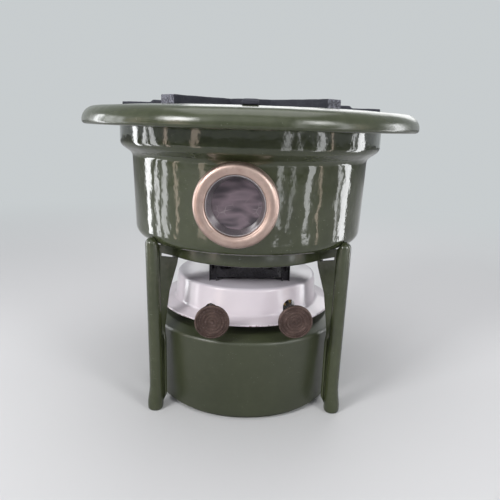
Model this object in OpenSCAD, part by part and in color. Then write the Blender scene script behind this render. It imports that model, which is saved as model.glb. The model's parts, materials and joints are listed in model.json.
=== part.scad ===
// Enamelled two-wick paraffin stove that warms a pan: fuel tank, burner with a loose
// cover, three-legged stand, windowed mantle with a broad rim, and a cast pan trivet.
// Origin: centre of the stove at the level of the table. -Y is the side with the window.

/* [Tank] */
// Outer radius of the tank below its shoulder
tank_r = 75.5; // [72:0.5:76]
// Amount by which the tank narrows towards its lower edge
tank_taper = 3; // [0.5:0.5:5.5]
// Height of the tank's shoulder above the table
tank_h = 63; // [58:0.5:66]
// Gap between the lower edge of the tank wall and the table
tank_lift = 3; // [2:0.5:6]
// Rounding of the tank's shoulder
tank_round = 3; // [2:0.5:5]
// Rise of the flat top above the shoulder
tank_rise = 3; // [2:0.5:5]
// Width of the slope between the tank's wall and its flat top
tank_ledge = 8; // [6.5:0.5:9.5]
// Sheet thickness of the tank
tank_wall = 1.2; // [0.8:0.1:1.6]
// Radius of the burner hole in the tank top
mouth_r = 39.5; // [39:0.5:42]
// Height of the tank floor above the table
floor_h = 9; // [6:0.5:14]
// Distance of the foot bead inside the tank's lower edge
foot_inset = 3.5; // [3.5:0.5:6.5]

/* [Filler] */
// Angle of the filler round the tank, from +X
filler_angle = 42; // [36:1:46]
// Distance of the filler from the stove's axis
filler_x = 60; // [58:0.5:60]
// Outer radius of the filler neck
filler_neck_r = 7.5; // [6:0.5:8]
// Height of the filler neck above the tank top
filler_neck_h = 6; // [5:0.5:8]
// Outer radius of the filler cap
filler_cap_r = 10.5; // [10:0.5:11.5]
// Height of the filler cap
filler_cap_h = 7; // [6:0.5:7]
// Thread pitch of the filler cap
filler_pitch = 2; // [1:0.25:3]
// Turns of the filler cap between shut and free
filler_turns = 3; // [1:0.5:4]

/* [Burner] */
// Turn of the whole burner about the stove's axis
burner_turn = 4.8; // [-8:0.1:8]
// Outer radius of the burner base plate
base_r = 48.5; // [47:0.5:48.5]
// Thickness of the burner base plate
base_t = 1.5; // [1:0.1:2]
// Thickness of the cork gasket under the base plate
gasket_t = 1; // [0.5:0.1:2]
// Wick thickness
wick_t = 3; // [2:0.1:3.5]
// Wick width
wick_w = 54; // [44:1:54]
// Gap between wick and tube on each side
wick_gap = 0.3; // [0.2:0.05:0.5]
// Sheet thickness of the wick tubes
tube_wall = 0.7; // [0.5:0.1:1]
// Height of the top of the wick tubes above the table
tube_top = 138; // [130:0.5:140]
// Height of the bottom of the wick tubes above the table
tube_bottom = 48; // [30:0.5:55]
// Height of the lower end of the wicks at rest above the table
wick_low = 20; // [18:0.5:40]
// Depth of the lowered wick below the top of its tube
wick_sink = 2; // [1:0.5:6]

/* [Spindles] */
// Distance of each spindle from the middle of the burner
spindle_x = 28.8; // [27.5:0.1:29.5]
// Height of the spindles above the table
spindle_z = 80.7; // [79:0.1:82]
// Radius of the spindles
spindle_r = 1.5; // [1.2:0.1:1.8]
// Running clearance round the spindles
run_gap = 0.05; // [0.02:0.01:0.1]
// Tip radius of the toothed feed wheels
wheel_r = 4; // [3:0.1:4.2]
// Depth of the teeth of the feed wheels
tooth_d = 0.9; // [0.5:0.1:1.2]
// Number of teeth on a feed wheel
teeth = 10; // [8:1:14]
// Thickness of a feed wheel
wheel_t = 1.2; // [0.8:0.1:2]
// Distance between neighbouring feed wheels
wheel_step = 18; // [12:0.5:20]
// Gap between the wheel tips and the wick's face
wheel_gap = 0.2; // [0.1:0.05:0.4]
// Distance of each bearing lug from the middle of the spindle
lug_y = 34.5; // [33:0.5:34.5]
// Outer radius of the bearing bushes
bush_r = 2.6; // [2.2:0.1:3]
// Radius of a bush flange
bush_flange_r = 4; // [3.4:0.1:4.2]
// Distance of the knob's front face from the stove's axis
knob_y = 80.4; // [78:0.1:84]
// Radius of the knobs
knob_r = 12; // [9:0.5:13]
// Thickness of a knob's rim
knob_t = 2.6; // [2:0.1:4]

/* [Burner cover] */
// Radius of the cover's lower rim
cover_r = 69.5; // [67:0.5:71]
// Height of the cover's lower rim above the table
cover_z = 72.4; // [71:0.1:73.5]
// Height of the band round the cover's lower rim
cover_band_h = 1.6; // [1:0.2:2.2]
// Height at which the cover's flared foot meets its wall
crease_z = 75.4; // [75.2:0.1:76.5]
// Radius of the cover's wall at its foot
crease_r = 57.7; // [57:0.1:59]
// Radius of the curve between the cover's foot and its wall
crease_round = 2.4; // [1.5:0.1:3]
// Height of the cover's flat top above the table
cover_top = 96; // [94:0.5:98]
// Radius of the cover's wall under its shoulder
cover_top_r = 56; // [55.5:0.1:57]
// Rounding of the cover's shoulder
cover_round = 2.5; // [2:0.1:4]
// Sheet thickness of the cover
cover_wall = 1; // [0.8:0.1:1.4]
// Half the width of the notches over the spindles
notch_w = 4.75; // [4:0.25:6]
// Height of the top of the left notch above the table
notch_left_top = 83; // [83:0.5:88]
// Height of the top of the right notch above the table
notch_right_top = 86; // [83:0.5:88]
// Half the width of the notch over the filler cap
filler_notch_w = 13.5; // [12.5:0.5:15]
// Height of the top of the filler notch above the table
filler_notch_top = 84; // [83:0.5:88]
// Clearance between the cover and the wick tubes
slot_gap = 0.8; // [0.4:0.1:1.5]

/* [Flame gallery] */
// Half the distance between the outer faces of the gallery's side posts
gallery_x = 30.8; // [30:0.1:31.5]
// Half the length of the gallery from front to back
gallery_y = 35.2; // [33:0.1:36]
// Width of a corner post
post_w = 6; // [4:0.5:7]
// Thickness of a corner post
post_t = 3; // [2:0.5:4]
// Sheet thickness of the gallery's walls
gallery_wall = 0.8; // [0.6:0.1:1.2]
// Height of the top of the gallery above the table
gallery_top = 142; // [141:0.5:145]
// Gap under the gallery's walls
gallery_gap = 2.4; // [1:0.2:4]
// Outer radius of the two hoods of the flame cap
hood_r = 7.5; // [7:0.1:8]
// Width of the flame slots
flame_slot = 6; // [5.5:0.1:6.5]
// Sheet thickness of the flame cap
cap_wall = 1; // [0.8:0.1:1.2]

/* [Stand] */
// Turn of the whole stand about the stove's axis
stand_turn = 1.5; // [-5:0.5:5]
// Angle of each front leg from the front of the stove
leg_angle = 50; // [40:1:60]
// Outer radius of the stand's ring
ring_r = 70; // [69:0.5:72]
// Radial thickness of the ring
ring_t = 4.5; // [3:0.5:4.5]
// Height of the underside of the ring above the table
ring_low = 116; // [113:0.5:118]
// Rounding of the ring's lower outer edge
ring_round = 1.8; // [1:0.1:3]
// Height of the seat that carries the mantle above the table
seat_z = 127.3; // [124:0.1:130]
// Width of the seat on top of the ring
seat_w = 2; // [1.5:0.1:2.4]
// Height of the centring collar above the seat
collar_h = 3.5; // [2:0.5:6]
// Radius of the round post of each leg
leg_post_r = 5.1; // [4.5:0.1:5.4]
// Distance of the top of the posts from the stove's axis
leg_top_x = 88.8; // [87:0.1:90]
// Distance of the ankle of the posts from the stove's axis
leg_low_x = 86.7; // [85:0.1:88]
// Distance of the toes from the stove's axis
toe_x = 88; // [86:0.5:92]
// Radius of the toes
toe_r = 5.8; // [4:0.1:6]
// Height of the top of the posts above the table
leg_top_z = 133.5; // [128:0.5:136]
// Gap between the posts and the mantle
leg_gap = 0.8; // [0.6:0.1:2]
// Height of the ankle above the table
ankle_z = 14; // [10:0.5:20]
// Thickness of the web of each leg
web_t = 4; // [3:0.25:6]
// Height of the slot in each web, next to the post
web_slot = 2.6; // [2:0.1:3]
// Gap between the guide rails and the tank
rail_gap = 4.1; // [2:0.1:4.5]
// Thickness of the guide rails
rail_t = 2.8; // [2:0.1:3]
// Half the width of the guide rails
rail_w = 4; // [3:0.25:5]
// Height of the lower end of the guide rails above the table
rail_low = 10; // [8:0.5:14]
// Height of the upper end of the guide rails above the table
rail_high = 56; // [45:0.5:58]

/* [Mantle] */
// Turn of the mantle on the stand
mantle_turn = -4.5; // [-10:0.5:10]
// Outer radius of the drum at its lower edge
drum_low_r = 88.4; // [86:0.1:89]
// Outer radius of the drum under the neck
drum_top_r = 90.1; // [89:0.1:92]
// Rounding of the drum's lower edge
drum_round = 8; // [6:0.5:10]
// Height of the drum from the seat to the start of the neck
drum_h = 59.5; // [55:0.5:64]
// Outer radius of the neck under the rim
neck_r = 99; // [98:0.5:101]
// Height of the curve between drum and neck
shoulder_h = 12; // [12:0.5:13.5]
// Height of the underside of the rim above the ring's seat
rim_low = 82.1; // [80:0.1:84]
// Sheet thickness of the mantle
mantle_wall = 1.4; // [1:0.1:1.8]

/* [Rim] */
// Outer radius of the rim
rim_r = 125.3; // [120:0.1:128]
// Large rounding of the rim's edge
rim_round = 10; // [8:0.5:11]
// Small rounding under the rim's edge
lip_round = 2.6; // [2:0.1:3.5]
// Radius of the rim's crest
crest_r = 97; // [96:0.5:98]
// Height of the crest above the underside of the rim
crest_h = 14; // [13.5:0.1:15]
// Depth of the spill dish below the crest
dish_d = 11.4; // [10:0.1:12]
// Radius of the fire opening
fire_r = 64; // [62:0.5:66]
// Width of the ledge that carries the spill dish
dish_ledge = 4; // [3:0.5:5]
// Depth of the collar round the fire opening
fire_collar = 7; // [4:0.5:9]

/* [Chimney] */
// Outer radius of the inner chimney at its lower end
chimney_r = 51; // [50.5:0.5:54]
// Height of the lower end of the chimney above the ring's seat
chimney_z = 4; // [3:0.5:8]
// Height of the chimney's straight part
chimney_straight = 24; // [16:1:30]
// Gap between chimney and fire opening
chimney_gap = 2.2; // [1:0.1:3]
// Sheet thickness of the chimney
chimney_wall = 0.8; // [0.6:0.1:1.2]
// Outer radius of the chimney's flange
flange_r = 71; // [70:0.5:73]
// Number of rivets in the flange
rivets = 6; // [3:1:12]
// Radius of the rivet heads
rivet_r = 2.2; // [1.6:0.1:2.4]

/* [Window] */
// Height of the window's centre above the ring's seat
window_h = 35.4; // [33:0.1:37]
// Outer radius of the bezel
bezel_r = 27.25; // [26:0.25:28.5]
// Distance of the bezel's front from the mantle's axis
bezel_front = 98; // [96:0.5:100]
// Inner radius of the bezel's front edge
bezel_bore = 19.35; // [18.5:0.05:20]
// Outer radius of the bezel's spigot
spigot_r = 24; // [23:0.25:24.5]
// Free radius of the window pane
pane_free_r = 16.2; // [15:0.1:17]
// Thickness of the window pane
pane_t = 0.8; // [0.4:0.1:1.2]
// Thickness of the ring nut behind the window
nut_t = 2.4; // [1.5:0.1:3]

/* [Trivet] */
// Height of the top of the trivet above the rim's crest
trivet_h = 6.8; // [6:0.1:8]
// Radius of the ends of the raised arms
arm_r = 79; // [72:0.5:82]
// Width of the raised arms
arm_w = 8; // [6:0.5:10]
// Width of the flared ends of the raised arms
arm_end_w = 15; // [12:0.5:18]
// Length of the flared ends
arm_end_l = 16; // [10:0.5:20]
// Radius of the ends of the lugs that rest on the rim
lug_r = 98.5; // [96:0.5:100]
// Width of these lugs
lug_w = 10; // [8:0.5:12]
// Thickness of these lugs
lug_t = 2.8; // [2.4:0.1:3.4]
// Radius at which the lugs step down
lug_step_r = 77; // [70:0.5:78]
// Outer radius of the trivet's hub ring
hub_r = 25; // [22:0.5:30]
// Inner radius of the trivet's hub ring
hub_bore = 17; // [12:0.5:20]
// Thickness of the trivet's casting
trivet_t = 8; // [6:0.5:8.5]

/* [Hidden] */
$fn = 96;

eps = 0.01;                       // overlap of joined solids
over = 1;                         // length by which a cut passes a face
seat_gap = 0.2;                   // gap between loose pieces that rest on each other
fit_gap = 0.05;                   // gap between assembled pieces
skin_gap = 0.2;                   // gap between curved pieces that are screwed together

tank_top = tank_h + tank_rise;
tank_foot_r = tank_r - tank_taper;
tank_flat_r = tank_r - tank_ledge;
foot_bead_r = tank_foot_r - foot_inset;
base_z = tank_top + gasket_t;
base_top = base_z + base_t;
tube_in = wick_t + 2 * wick_gap;
tube_out = tube_in + 2 * tube_wall;
tube_len = wick_w + 2 * wick_gap + 2 * tube_wall;
tube_x = spindle_x - wheel_r - wheel_gap - wick_t / 2;
mantle_z = seat_z + seat_gap;
neck_z = mantle_z + drum_h;
rim_z = mantle_z + rim_low;
crest_z = rim_z + crest_h;
dish_z = crest_z - dish_d;
window_z = mantle_z + window_h;
trivet_z = crest_z + seat_gap;
trivet_top = crest_z + trivet_h;
clip_t = 1.2;                     // thickness of the wire ring that holds the pane

green = "#5c6b4c";
black = "#1d1c20";
white = "#efeaf0";
steel = "#8d8c8a";
brass = "#b08d4a";
copper = "#a98676";
bronze = "#5d4a44";
cork = "#b48a5c";
cotton = "#d8d2c0";
mica = "#6a6470";

// Points on an arc about c, from angle a0 to angle a1
function arc(c, r, a0, a1, n = 10) =
    [for (i = [0:n]) let (a = a0 + (a1 - a0) * i / n) c + r * [cos(a), sin(a)]];

function unit(v) = v / norm(v);
function left(v) = [-v[1], v[0]];

// Corner i of path p, moved to its left by t and mitred between its neighbours
function moved(p, i, t) =
    let (n = len(p) - 1,
         a = left(unit(i == 0 ? p[1] - p[0] : p[i] - p[i - 1])),
         b = left(unit(i == n ? p[n] - p[n - 1] : p[i + 1] - p[i])))
    p[i] + t * (a + b) / (1 + a * b);

// Outline of a sheet of thickness t whose outer face is path p
function sheet(p, t) = concat(p, [for (i = [len(p) - 1:-1:0]) moved(p, i, t)]);

module spun(p) {
    rotate_extrude() polygon(p);
}

module tube(r_out, r_in, h) {
    difference() {
        cylinder(r = r_out, h = h);
        translate([0, 0, -over]) cylinder(r = r_in, h = h + 2 * over);
    }
}

// A round bar from a to b in the XZ plane: it ends in a dome of radius r1 at b, and in one
// of radius r0 at a, or flat where r0 is 0
module bar(a, b, r0, r1) {
    d = b - a;
    start = r0 == 0 ? [[0, 0], [r1, 0]] : arc([0, 0], r0, -90, 0, 7);
    translate([a[0], 0, a[1]]) rotate([0, atan2(d[0], d[1]), 0])
        spun(concat(start, arc([0, norm(d)], r1, 0, 90, 7)));
}

module in_burner(side = 1) {
    rotate([0, 0, burner_turn]) mirror([side < 0 ? 1 : 0, 0, 0]) children();
}

module at_filler() {
    rotate([0, 0, filler_angle]) translate([filler_x, 0, 0]) children();
}

// Places a shape drawn along +Z on the window's axis, pointing out of the mantle
module at_window() {
    rotate([0, 0, mantle_turn]) translate([0, 0, window_z]) rotate([90, 0, 0]) children();
}

// ---- Tank ----

tank_slope = 70;                  // angle turned by the shoulder's rounding
tank_line = concat(
    [[tank_foot_r, tank_lift]],
    arc([tank_r - tank_round, tank_h - tank_round], tank_round, 0, tank_slope),
    [[tank_flat_r + tank_rise / 2, tank_top - tank_rise / 4],
     [tank_flat_r, tank_top], [mouth_r, tank_top]]);

module fuel_tank() {
    color(green) difference() {
        spun(sheet(tank_line, tank_wall));
        at_filler() translate([0, 0, tank_top - 2 * tank_wall])
            cylinder(r = filler_neck_r + fit_gap, h = 4 * tank_wall);
        in_burner() screw_places() translate([0, 0, tank_top - 2 * tank_wall])
            cylinder(r = screw_r + fit_gap, h = 4 * tank_wall);
    }
}

bead_w = 3.6;                     // width of the foot bead
bead_slope = 3;                   // width of the slope between the bead and the floor
flange_h = 9;                     // height of the flange seamed into the tank wall
flange_x = tank_foot_r - tank_wall - skin_gap;
base_line = [
    [0, floor_h],
    [foot_bead_r - bead_w - bead_slope, floor_h],
    [foot_bead_r - bead_w, 0],
    [foot_bead_r, 0],
    [flange_x, tank_lift + tank_wall],
    [flange_x, tank_lift + tank_wall + flange_h]];

module tank_base() {
    color(green) spun(sheet(base_line, tank_wall));
}

neck_wall = 1.2;

module filler_neck() {
    color(brass) at_filler() translate([0, 0, tank_top - 2 * tank_wall])
        tube(filler_neck_r, filler_neck_r - neck_wall, filler_neck_h + 2 * tank_wall);
}

washer_t = 1;
washer_lap = 0.5;                 // width by which the washer passes the neck's wall
thread_gap = 1;                   // room of the thread between the neck and the filler cap
cap_wall_t = 1.4;
washer_z = tank_top + filler_neck_h + fit_gap;

module cap_washer() {
    color(cork) at_filler() translate([0, 0, washer_z])
        tube(filler_neck_r + thread_gap - 2 * fit_gap,
             filler_neck_r - neck_wall - washer_lap, washer_t);
}

grip_n = 24;                      // flutes round the filler cap
grip_r = 0.7;                     // radius of a flute

module filler_cap() {
    low = washer_z + washer_t + fit_gap + cap_wall_t - filler_cap_h;
    color(brass) at_filler() translate([0, 0, low]) difference() {
        cylinder(r = filler_cap_r, h = filler_cap_h);
        translate([0, 0, -over])
            cylinder(r = filler_neck_r + thread_gap, h = filler_cap_h + over - cap_wall_t);
        for (i = [0:grip_n - 1]) rotate([0, 0, i * 360 / grip_n])
            translate([filler_cap_r, 0, -over])
            cylinder(r = grip_r, h = filler_cap_h + 2 * over, $fn = 16);
    }
}

// ---- Burner base ----

screw_r = 1.5;
screw_head_r = 3;
screw_head_h = 1.8;
screw_slot = 0.8;                 // width of the slot in a screw's head
screw_x = (mouth_r + base_r) / 2;

module screw_places() {
    for (a = [0:90:270]) rotate([0, 0, a]) translate([screw_x, 0, 0]) children();
}

module tube_block(grow, z0, z1) {
    for (s = [-1, 1]) translate([s * tube_x - tube_out / 2 - grow, -tube_len / 2 - grow, z0])
        cube([tube_out + 2 * grow, tube_len + 2 * grow, z1 - z0]);
}

module burner_gasket() {
    color(cork) in_burner() translate([0, 0, tank_top]) difference() {
        tube(base_r, mouth_r, gasket_t);
        screw_places() translate([0, 0, -over]) cylinder(r = screw_r + fit_gap, h = 3 * over);
    }
}

lug_plate_t = 1.5;
lug_plate_w = bush_flange_r + 0.5;  // half the width of a bearing lug

module burner_base() {
    color(black) in_burner() {
        difference() {
            translate([0, 0, base_z]) cylinder(r = base_r, h = base_t);
            screw_places() translate([0, 0, base_z - over])
                cylinder(r = screw_r + fit_gap, h = base_t + 2 * over);
            tube_block(fit_gap, base_z - over, base_top + over);
        }
        for (s = [-1, 1], f = [-1, 1]) difference() {
            union() {
                translate([s * spindle_x - lug_plate_w, f * lug_y - lug_plate_t / 2, base_top - eps])
                    cube([2 * lug_plate_w, lug_plate_t, spindle_z - base_top]);
                translate([s * spindle_x, f * lug_y + lug_plate_t / 2, spindle_z])
                    rotate([90, 0, 0]) cylinder(r = lug_plate_w, h = lug_plate_t);
            }
            translate([s * spindle_x, f * lug_y + over + lug_plate_t, spindle_z])
                rotate([90, 0, 0]) cylinder(r = bush_r + eps, h = 2 * over + 2 * lug_plate_t);
        }
    }
}

module burner_screws() {
    color(steel) in_burner() screw_places() {
        difference() {
            translate([0, 0, base_top]) cylinder(r = screw_head_r, h = screw_head_h);
            translate([-screw_head_r - over, -screw_slot / 2, base_top + screw_head_h / 2])
                cube([2 * screw_head_r + 2 * over, screw_slot, screw_head_h]);
        }
        translate([0, 0, tank_top - 3 * tank_wall])
            cylinder(r = screw_r, h = base_top - tank_top + 3 * tank_wall + eps);
    }
}

bush_half = 2.5;                  // half the length of a bush
bush_flange_t = 0.8;

module spindle_bushes() {
    color(brass) in_burner() for (s = [-1, 1], f = [-1, 1])
        translate([s * spindle_x, f * lug_y, spindle_z]) rotate([-90 * f, 0, 0]) {
            translate([0, 0, -bush_half]) tube(bush_r, spindle_r + run_gap, 2 * bush_half);
            translate([0, 0, lug_plate_t / 2 + eps])
                tube(bush_flange_r, spindle_r + run_gap, bush_flange_t);
        }
}

bridge_z = cover_top - cover_wall - seat_gap;
bridge_t = 1.2;
bridge_w = 24;                    // length of the bridge along the wick tubes
bridge_flange = 9;                // depth of its flanges

module tube_bridge() {
    inner = 2 * tube_x - tube_out;
    color(black) in_burner() {
        translate([-inner / 2, -bridge_w / 2, bridge_z - bridge_t])
            cube([inner, bridge_w, bridge_t]);
        for (s = [-1, 1]) translate([s * (inner - bridge_t) / 2 - bridge_t / 2, -bridge_w / 2,
                                     bridge_z - bridge_flange])
            cube([bridge_t, bridge_w, bridge_flange]);
    }
}

// ---- Wicks and spindles ----

wheel_room = 0.8;                 // room round a feed wheel in the wick tube's window

module wick_tube(side) {
    window = wheel_r + wheel_room;
    color(black) in_burner(side) difference() {
        translate([tube_x - tube_out / 2, -tube_len / 2, tube_bottom])
            cube([tube_out, tube_len, tube_top - tube_bottom]);
        translate([tube_x - tube_in / 2, -tube_len / 2 + tube_wall, tube_bottom - over])
            cube([tube_in, tube_len - 2 * tube_wall, tube_top - tube_bottom + 2 * over]);
        for (i = [-1:1]) translate([tube_x, i * wheel_step - wheel_t, spindle_z - window])
            cube([tube_out, 2 * wheel_t, 2 * window]);
    }
}

module wick(side) {
    color(cotton) in_burner(side) translate([tube_x - wick_t / 2, -wick_w / 2, wick_low])
        cube([wick_t, wick_w, tube_top - wick_sink - wick_low]);
}

collar_r = spindle_r + 0.6;
collar_t = 1.2;
collar_play = 0.3;                // gap between a collar and the rear bush
rear_y = lug_y + bush_half + 2;   // rear end of the spindles
knob_web_t = knob_t / 2;
front_y = knob_y - knob_web_t - fit_gap;

module spindle(side) {
    color(steel) in_burner(side) translate([spindle_x, 0, spindle_z]) rotate([90, 0, 0]) {
        translate([0, 0, -rear_y]) cylinder(r = spindle_r, h = rear_y + front_y);
        for (f = [-1, 1])
            translate([0, 0, f * (bush_half + collar_play + collar_t / 2) - lug_y - collar_t / 2])
            cylinder(r = collar_r, h = collar_t);
    }
}

module feed_wheels(side) {
    step = 360 / teeth;
    star = [for (i = [0:teeth - 1], k = [0:3])
            let (a = (i + [-0.32, -0.12, 0.12, 0.32][k]) * step,
                 r = k == 1 || k == 2 ? wheel_r : wheel_r - tooth_d)
            r * [cos(a), sin(a)]];
    color(steel) in_burner(side) translate([spindle_x, 0, spindle_z]) rotate([90, 0, 0])
        for (i = [-1:1]) translate([0, 0, i * wheel_step - wheel_t / 2]) difference() {
            linear_extrude(wheel_t) polygon(star);
            translate([0, 0, -over]) cylinder(r = spindle_r + eps, h = wheel_t + 2 * over);
        }
}

knob_hub_r = 4;
knob_hub_l = 5;
knob_edge = 0.6;                  // bevel of the knob's edges
knob_bead = 1.3;                  // width of the raised bead round the face
knob_rings = 3;                   // raised rings inside the bead
knob_ring_h = 0.5;                // height of a ring
knob_dot_r = 1.4;                 // radius of the dot in the middle of the face

// Half outline of a knob, from its blind bore at z = 0 round to the middle of its face
function knob_line() =
    let (bore = spindle_r + eps,
         step = (knob_r - knob_bead - knob_dot_r) / (knob_rings + 1))
    concat(
        [[0, 0], [bore, 0], [bore, -knob_hub_l], [knob_hub_r, -knob_hub_l], [knob_hub_r, 0],
         [knob_r - knob_edge, 0], [knob_r, knob_edge], [knob_r, knob_t - knob_edge],
         [knob_r - knob_edge, knob_t], [knob_r - knob_bead, knob_t],
         [knob_r - knob_bead - knob_edge / 2, knob_web_t]],
        [for (i = [knob_rings:-1:1], k = [0:3])
            [knob_dot_r + (i + [0.25, 0.1, -0.1, -0.25][k]) * step,
             knob_web_t + [0, 1, 1, 0][k] * knob_ring_h]],
        [[knob_dot_r, knob_web_t], [knob_dot_r * 0.7, knob_t], [0, knob_t]]);

module knob(side) {
    color(bronze) in_burner(side) translate([spindle_x, 0, spindle_z]) rotate([90, 0, 0])
        translate([0, 0, knob_y - knob_web_t]) spun(knob_line());
}

// ---- Burner cover ----

foot_slope = atan2(crease_z - cover_z - cover_band_h, cover_r - crease_r);
cover_line = concat(
    [[cover_r, cover_z], [cover_r - eps, cover_z + cover_band_h]],
    arc([crease_r + crease_round, crease_z + crease_round], crease_round,
        270 - foot_slope, 185, 6),
    arc([cover_top_r - cover_round, cover_top - cover_round], cover_round, 5, 90, 8),
    [[0, cover_top]]);

// A notch that is open below, w wide each side and round at the top, cut outwards from x
module notch(w, top, x) {
    translate([x, -w, cover_z - over]) cube([cover_r, 2 * w, top - w - cover_z + over]);
    translate([x, 0, top - w]) rotate([0, 90, 0]) cylinder(r = w, h = cover_r);
}

module burner_cover() {
    color(white) in_burner() difference() {
        spun(sheet(cover_line, cover_wall));
        tube_block(slot_gap, cover_top - 5 * cover_wall, cover_top + over);
        for (s = [-1, 1]) translate([s * spindle_x, 0, 0]) rotate([0, 0, -90])
            notch(notch_w, s < 0 ? notch_left_top : notch_right_top, lug_y + bush_half + over);
        rotate([0, 0, filler_angle - burner_turn])
            translate([filler_x - filler_cap_r - over, -filler_notch_w, cover_z - over])
            cube([cover_r, 2 * filler_notch_w, filler_notch_top - cover_z + over]);
    }
}

module flame_gallery() {
    low = cover_top + gallery_gap;
    wall_x = gallery_x - post_w / 4;
    color(black) in_burner() {
        for (s = [-1, 1], f = [-1, 1])
            translate([s * (gallery_x - post_w / 2) - post_w / 2,
                       f * (gallery_y - post_t / 2) - post_t / 2, cover_top])
            cube([post_w, post_t, gallery_top - cover_top]);
        for (f = [-1, 1])
            translate([-gallery_x + post_w / 2, f * (gallery_y - post_t / 2) - gallery_wall / 2, low])
            cube([2 * gallery_x - post_w, gallery_wall, gallery_top - low]);
        for (s = [-1, 1])
            translate([s * wall_x - gallery_wall / 2, -gallery_y + post_t / 2, low])
            cube([gallery_wall, 2 * gallery_y - post_t, gallery_top - low]);
    }
}

hood_l = tube_len + 8;            // length of a hood
locate_h = 4;                     // depth of the flame cap's locating lip
locate_gap = 0.6;                 // gap between this lip and the gallery

module flame_cap() {
    z = gallery_top + seat_gap;
    lip_x = gallery_x - post_w / 4 - gallery_wall / 2 - locate_gap;
    lip_y = gallery_y - post_t - locate_gap;
    color(black) in_burner() difference() {
        union() {
            translate([-gallery_x, -gallery_y, z]) cube([2 * gallery_x, 2 * gallery_y, cap_wall]);
            for (s = [-1, 1]) translate([s * tube_x, hood_l / 2, z]) rotate([90, 0, 0])
                intersection() {
                    cylinder(r = hood_r, h = hood_l);
                    translate([-hood_r, 0, 0]) cube([2 * hood_r, hood_r, hood_l]);
                }
            difference() {
                translate([-lip_x, -lip_y, z - locate_h]) cube([2 * lip_x, 2 * lip_y, locate_h + eps]);
                translate([-lip_x + cap_wall, -lip_y + cap_wall, z - locate_h - over])
                    cube([2 * (lip_x - cap_wall), 2 * (lip_y - cap_wall), locate_h + over - eps]);
            }
        }
        for (s = [-1, 1]) {
            translate([s * tube_x, hood_l / 2 - cap_wall, z - eps]) rotate([90, 0, 0])
                cylinder(r = hood_r - cap_wall, h = hood_l - 2 * cap_wall);
            translate([s * tube_x - flame_slot / 2, -tube_len / 2, z])
                cube([flame_slot, tube_len, 2 * hood_r]);
        }
    }
}

// ---- Stand ----

drum_c = [drum_low_r - drum_round, mantle_z + drum_round];   // centre of the drum's lower round
rail_x = tank_r + rail_gap;
web_top = mantle_z + seat_gap;
web_foot = 3;                     // fall of the web's lower edge towards the foot
slot_rise = 2.8;                  // rise of the slot towards the post
slot_end = 1.2;                   // distance between the slot and the post
rail_end = 3;                     // length of the slope at the upper end of the rail

// A leg in the XZ plane: its slotted web runs from the ring to the post, its rail guides the
// tank, and the top of its post is cut back along the round edge of the drum
module leg() {
    slot_x = leg_top_x - leg_post_r - slot_end;
    mid_x = rail_x + rail_t / 2;
    web = [[ring_r - ring_t / 2, web_top], [leg_top_x, web_top],
           [leg_low_x, rail_low - web_foot], [mid_x, rail_low],
           [mid_x, rail_high], [rail_x + rail_t / 4, rail_high + 2 * rail_end],
           [tank_r, (ring_low + tank_top) / 2], [ring_r - ring_t / 2, ring_low - over]];
    slot = [[ring_r + over, ring_low], [slot_x, ring_low + slot_rise],
            [slot_x, ring_low + slot_rise + web_slot],
            [ring_r + over, ring_low + web_slot / 2]];
    rail = [[rail_x, rail_low], [rail_x + rail_t, rail_low], [rail_x + rail_t, rail_high + rail_end],
            [mid_x, rail_high + rail_end], [rail_x, rail_high]];
    room = concat([[0, drum_c[1] - drum_round - leg_gap]],
                  arc(drum_c, drum_round + leg_gap, -90, 0),
                  [[drum_top_r + leg_gap, rim_z], [0, rim_z]]);
    translate([0, rail_w, 0]) rotate([90, 0, 0]) linear_extrude(2 * rail_w) polygon(rail);
    difference() {
        union() {
            translate([0, web_t / 2, 0]) rotate([90, 0, 0]) linear_extrude(web_t) polygon(web);
            bar([leg_low_x, ankle_z], [leg_top_x, leg_top_z - leg_post_r], 0, leg_post_r);
        }
        spun(room);
        translate([0, web_t, 0]) rotate([90, 0, 0]) linear_extrude(2 * web_t) polygon(slot);
    }
    intersection() {
        bar([toe_x, toe_r / 2], [leg_low_x, ankle_z + toe_r], toe_r, leg_post_r + fit_gap);
        translate([0, -toe_x, 0]) cube([2 * toe_x, 2 * toe_x, ring_low]);
    }
}

module leg_stand() {
    ring = concat(
        [[ring_r - ring_t, ring_low]],
        arc([ring_r - ring_round, ring_low + ring_round], ring_round, -90, 0, 6),
        [[ring_r, seat_z], [ring_r - seat_w, seat_z], [ring_r - seat_w, seat_z + collar_h],
         [ring_r - ring_t, seat_z + collar_h]]);
    color(green) {
        spun(ring);
        for (a = [-90 - leg_angle, -90 + leg_angle, 90]) rotate([0, 0, a + stand_turn]) leg();
    }
}

// ---- Mantle ----

bend_low = 5;                     // concave bend from drum to neck
bend_high = 6;                    // convex bend from drum to neck
bend_a = 55;                      // angle turned by both bends
collar_gap = 0.4;                 // gap between the stand's collar and the drum
neck_room = 0.6;                  // gap between the neck's edge and the rim above it
neck_end = crest_z - 1.5 * mantle_wall - neck_room;
high_c = [neck_r - bend_high, neck_z + shoulder_h];
drum_line = concat(
    [[ring_r - seat_w + collar_gap, mantle_z]],
    arc(drum_c, drum_round, -90, 0),
    arc([drum_top_r + bend_low, neck_z], bend_low, 180, 180 - bend_a),
    arc(high_c, bend_high, -bend_a, 0),
    [[neck_r, neck_end]]);

module mantle_drum() {
    color(green) rotate([0, 0, mantle_turn]) difference() {
        spun(sheet(drum_line, mantle_wall));
        translate([0, 0, window_z]) rotate([90, 0, 0])
            cylinder(r = spigot_r + skin_gap, h = 2 * drum_top_r);
    }
}

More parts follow.
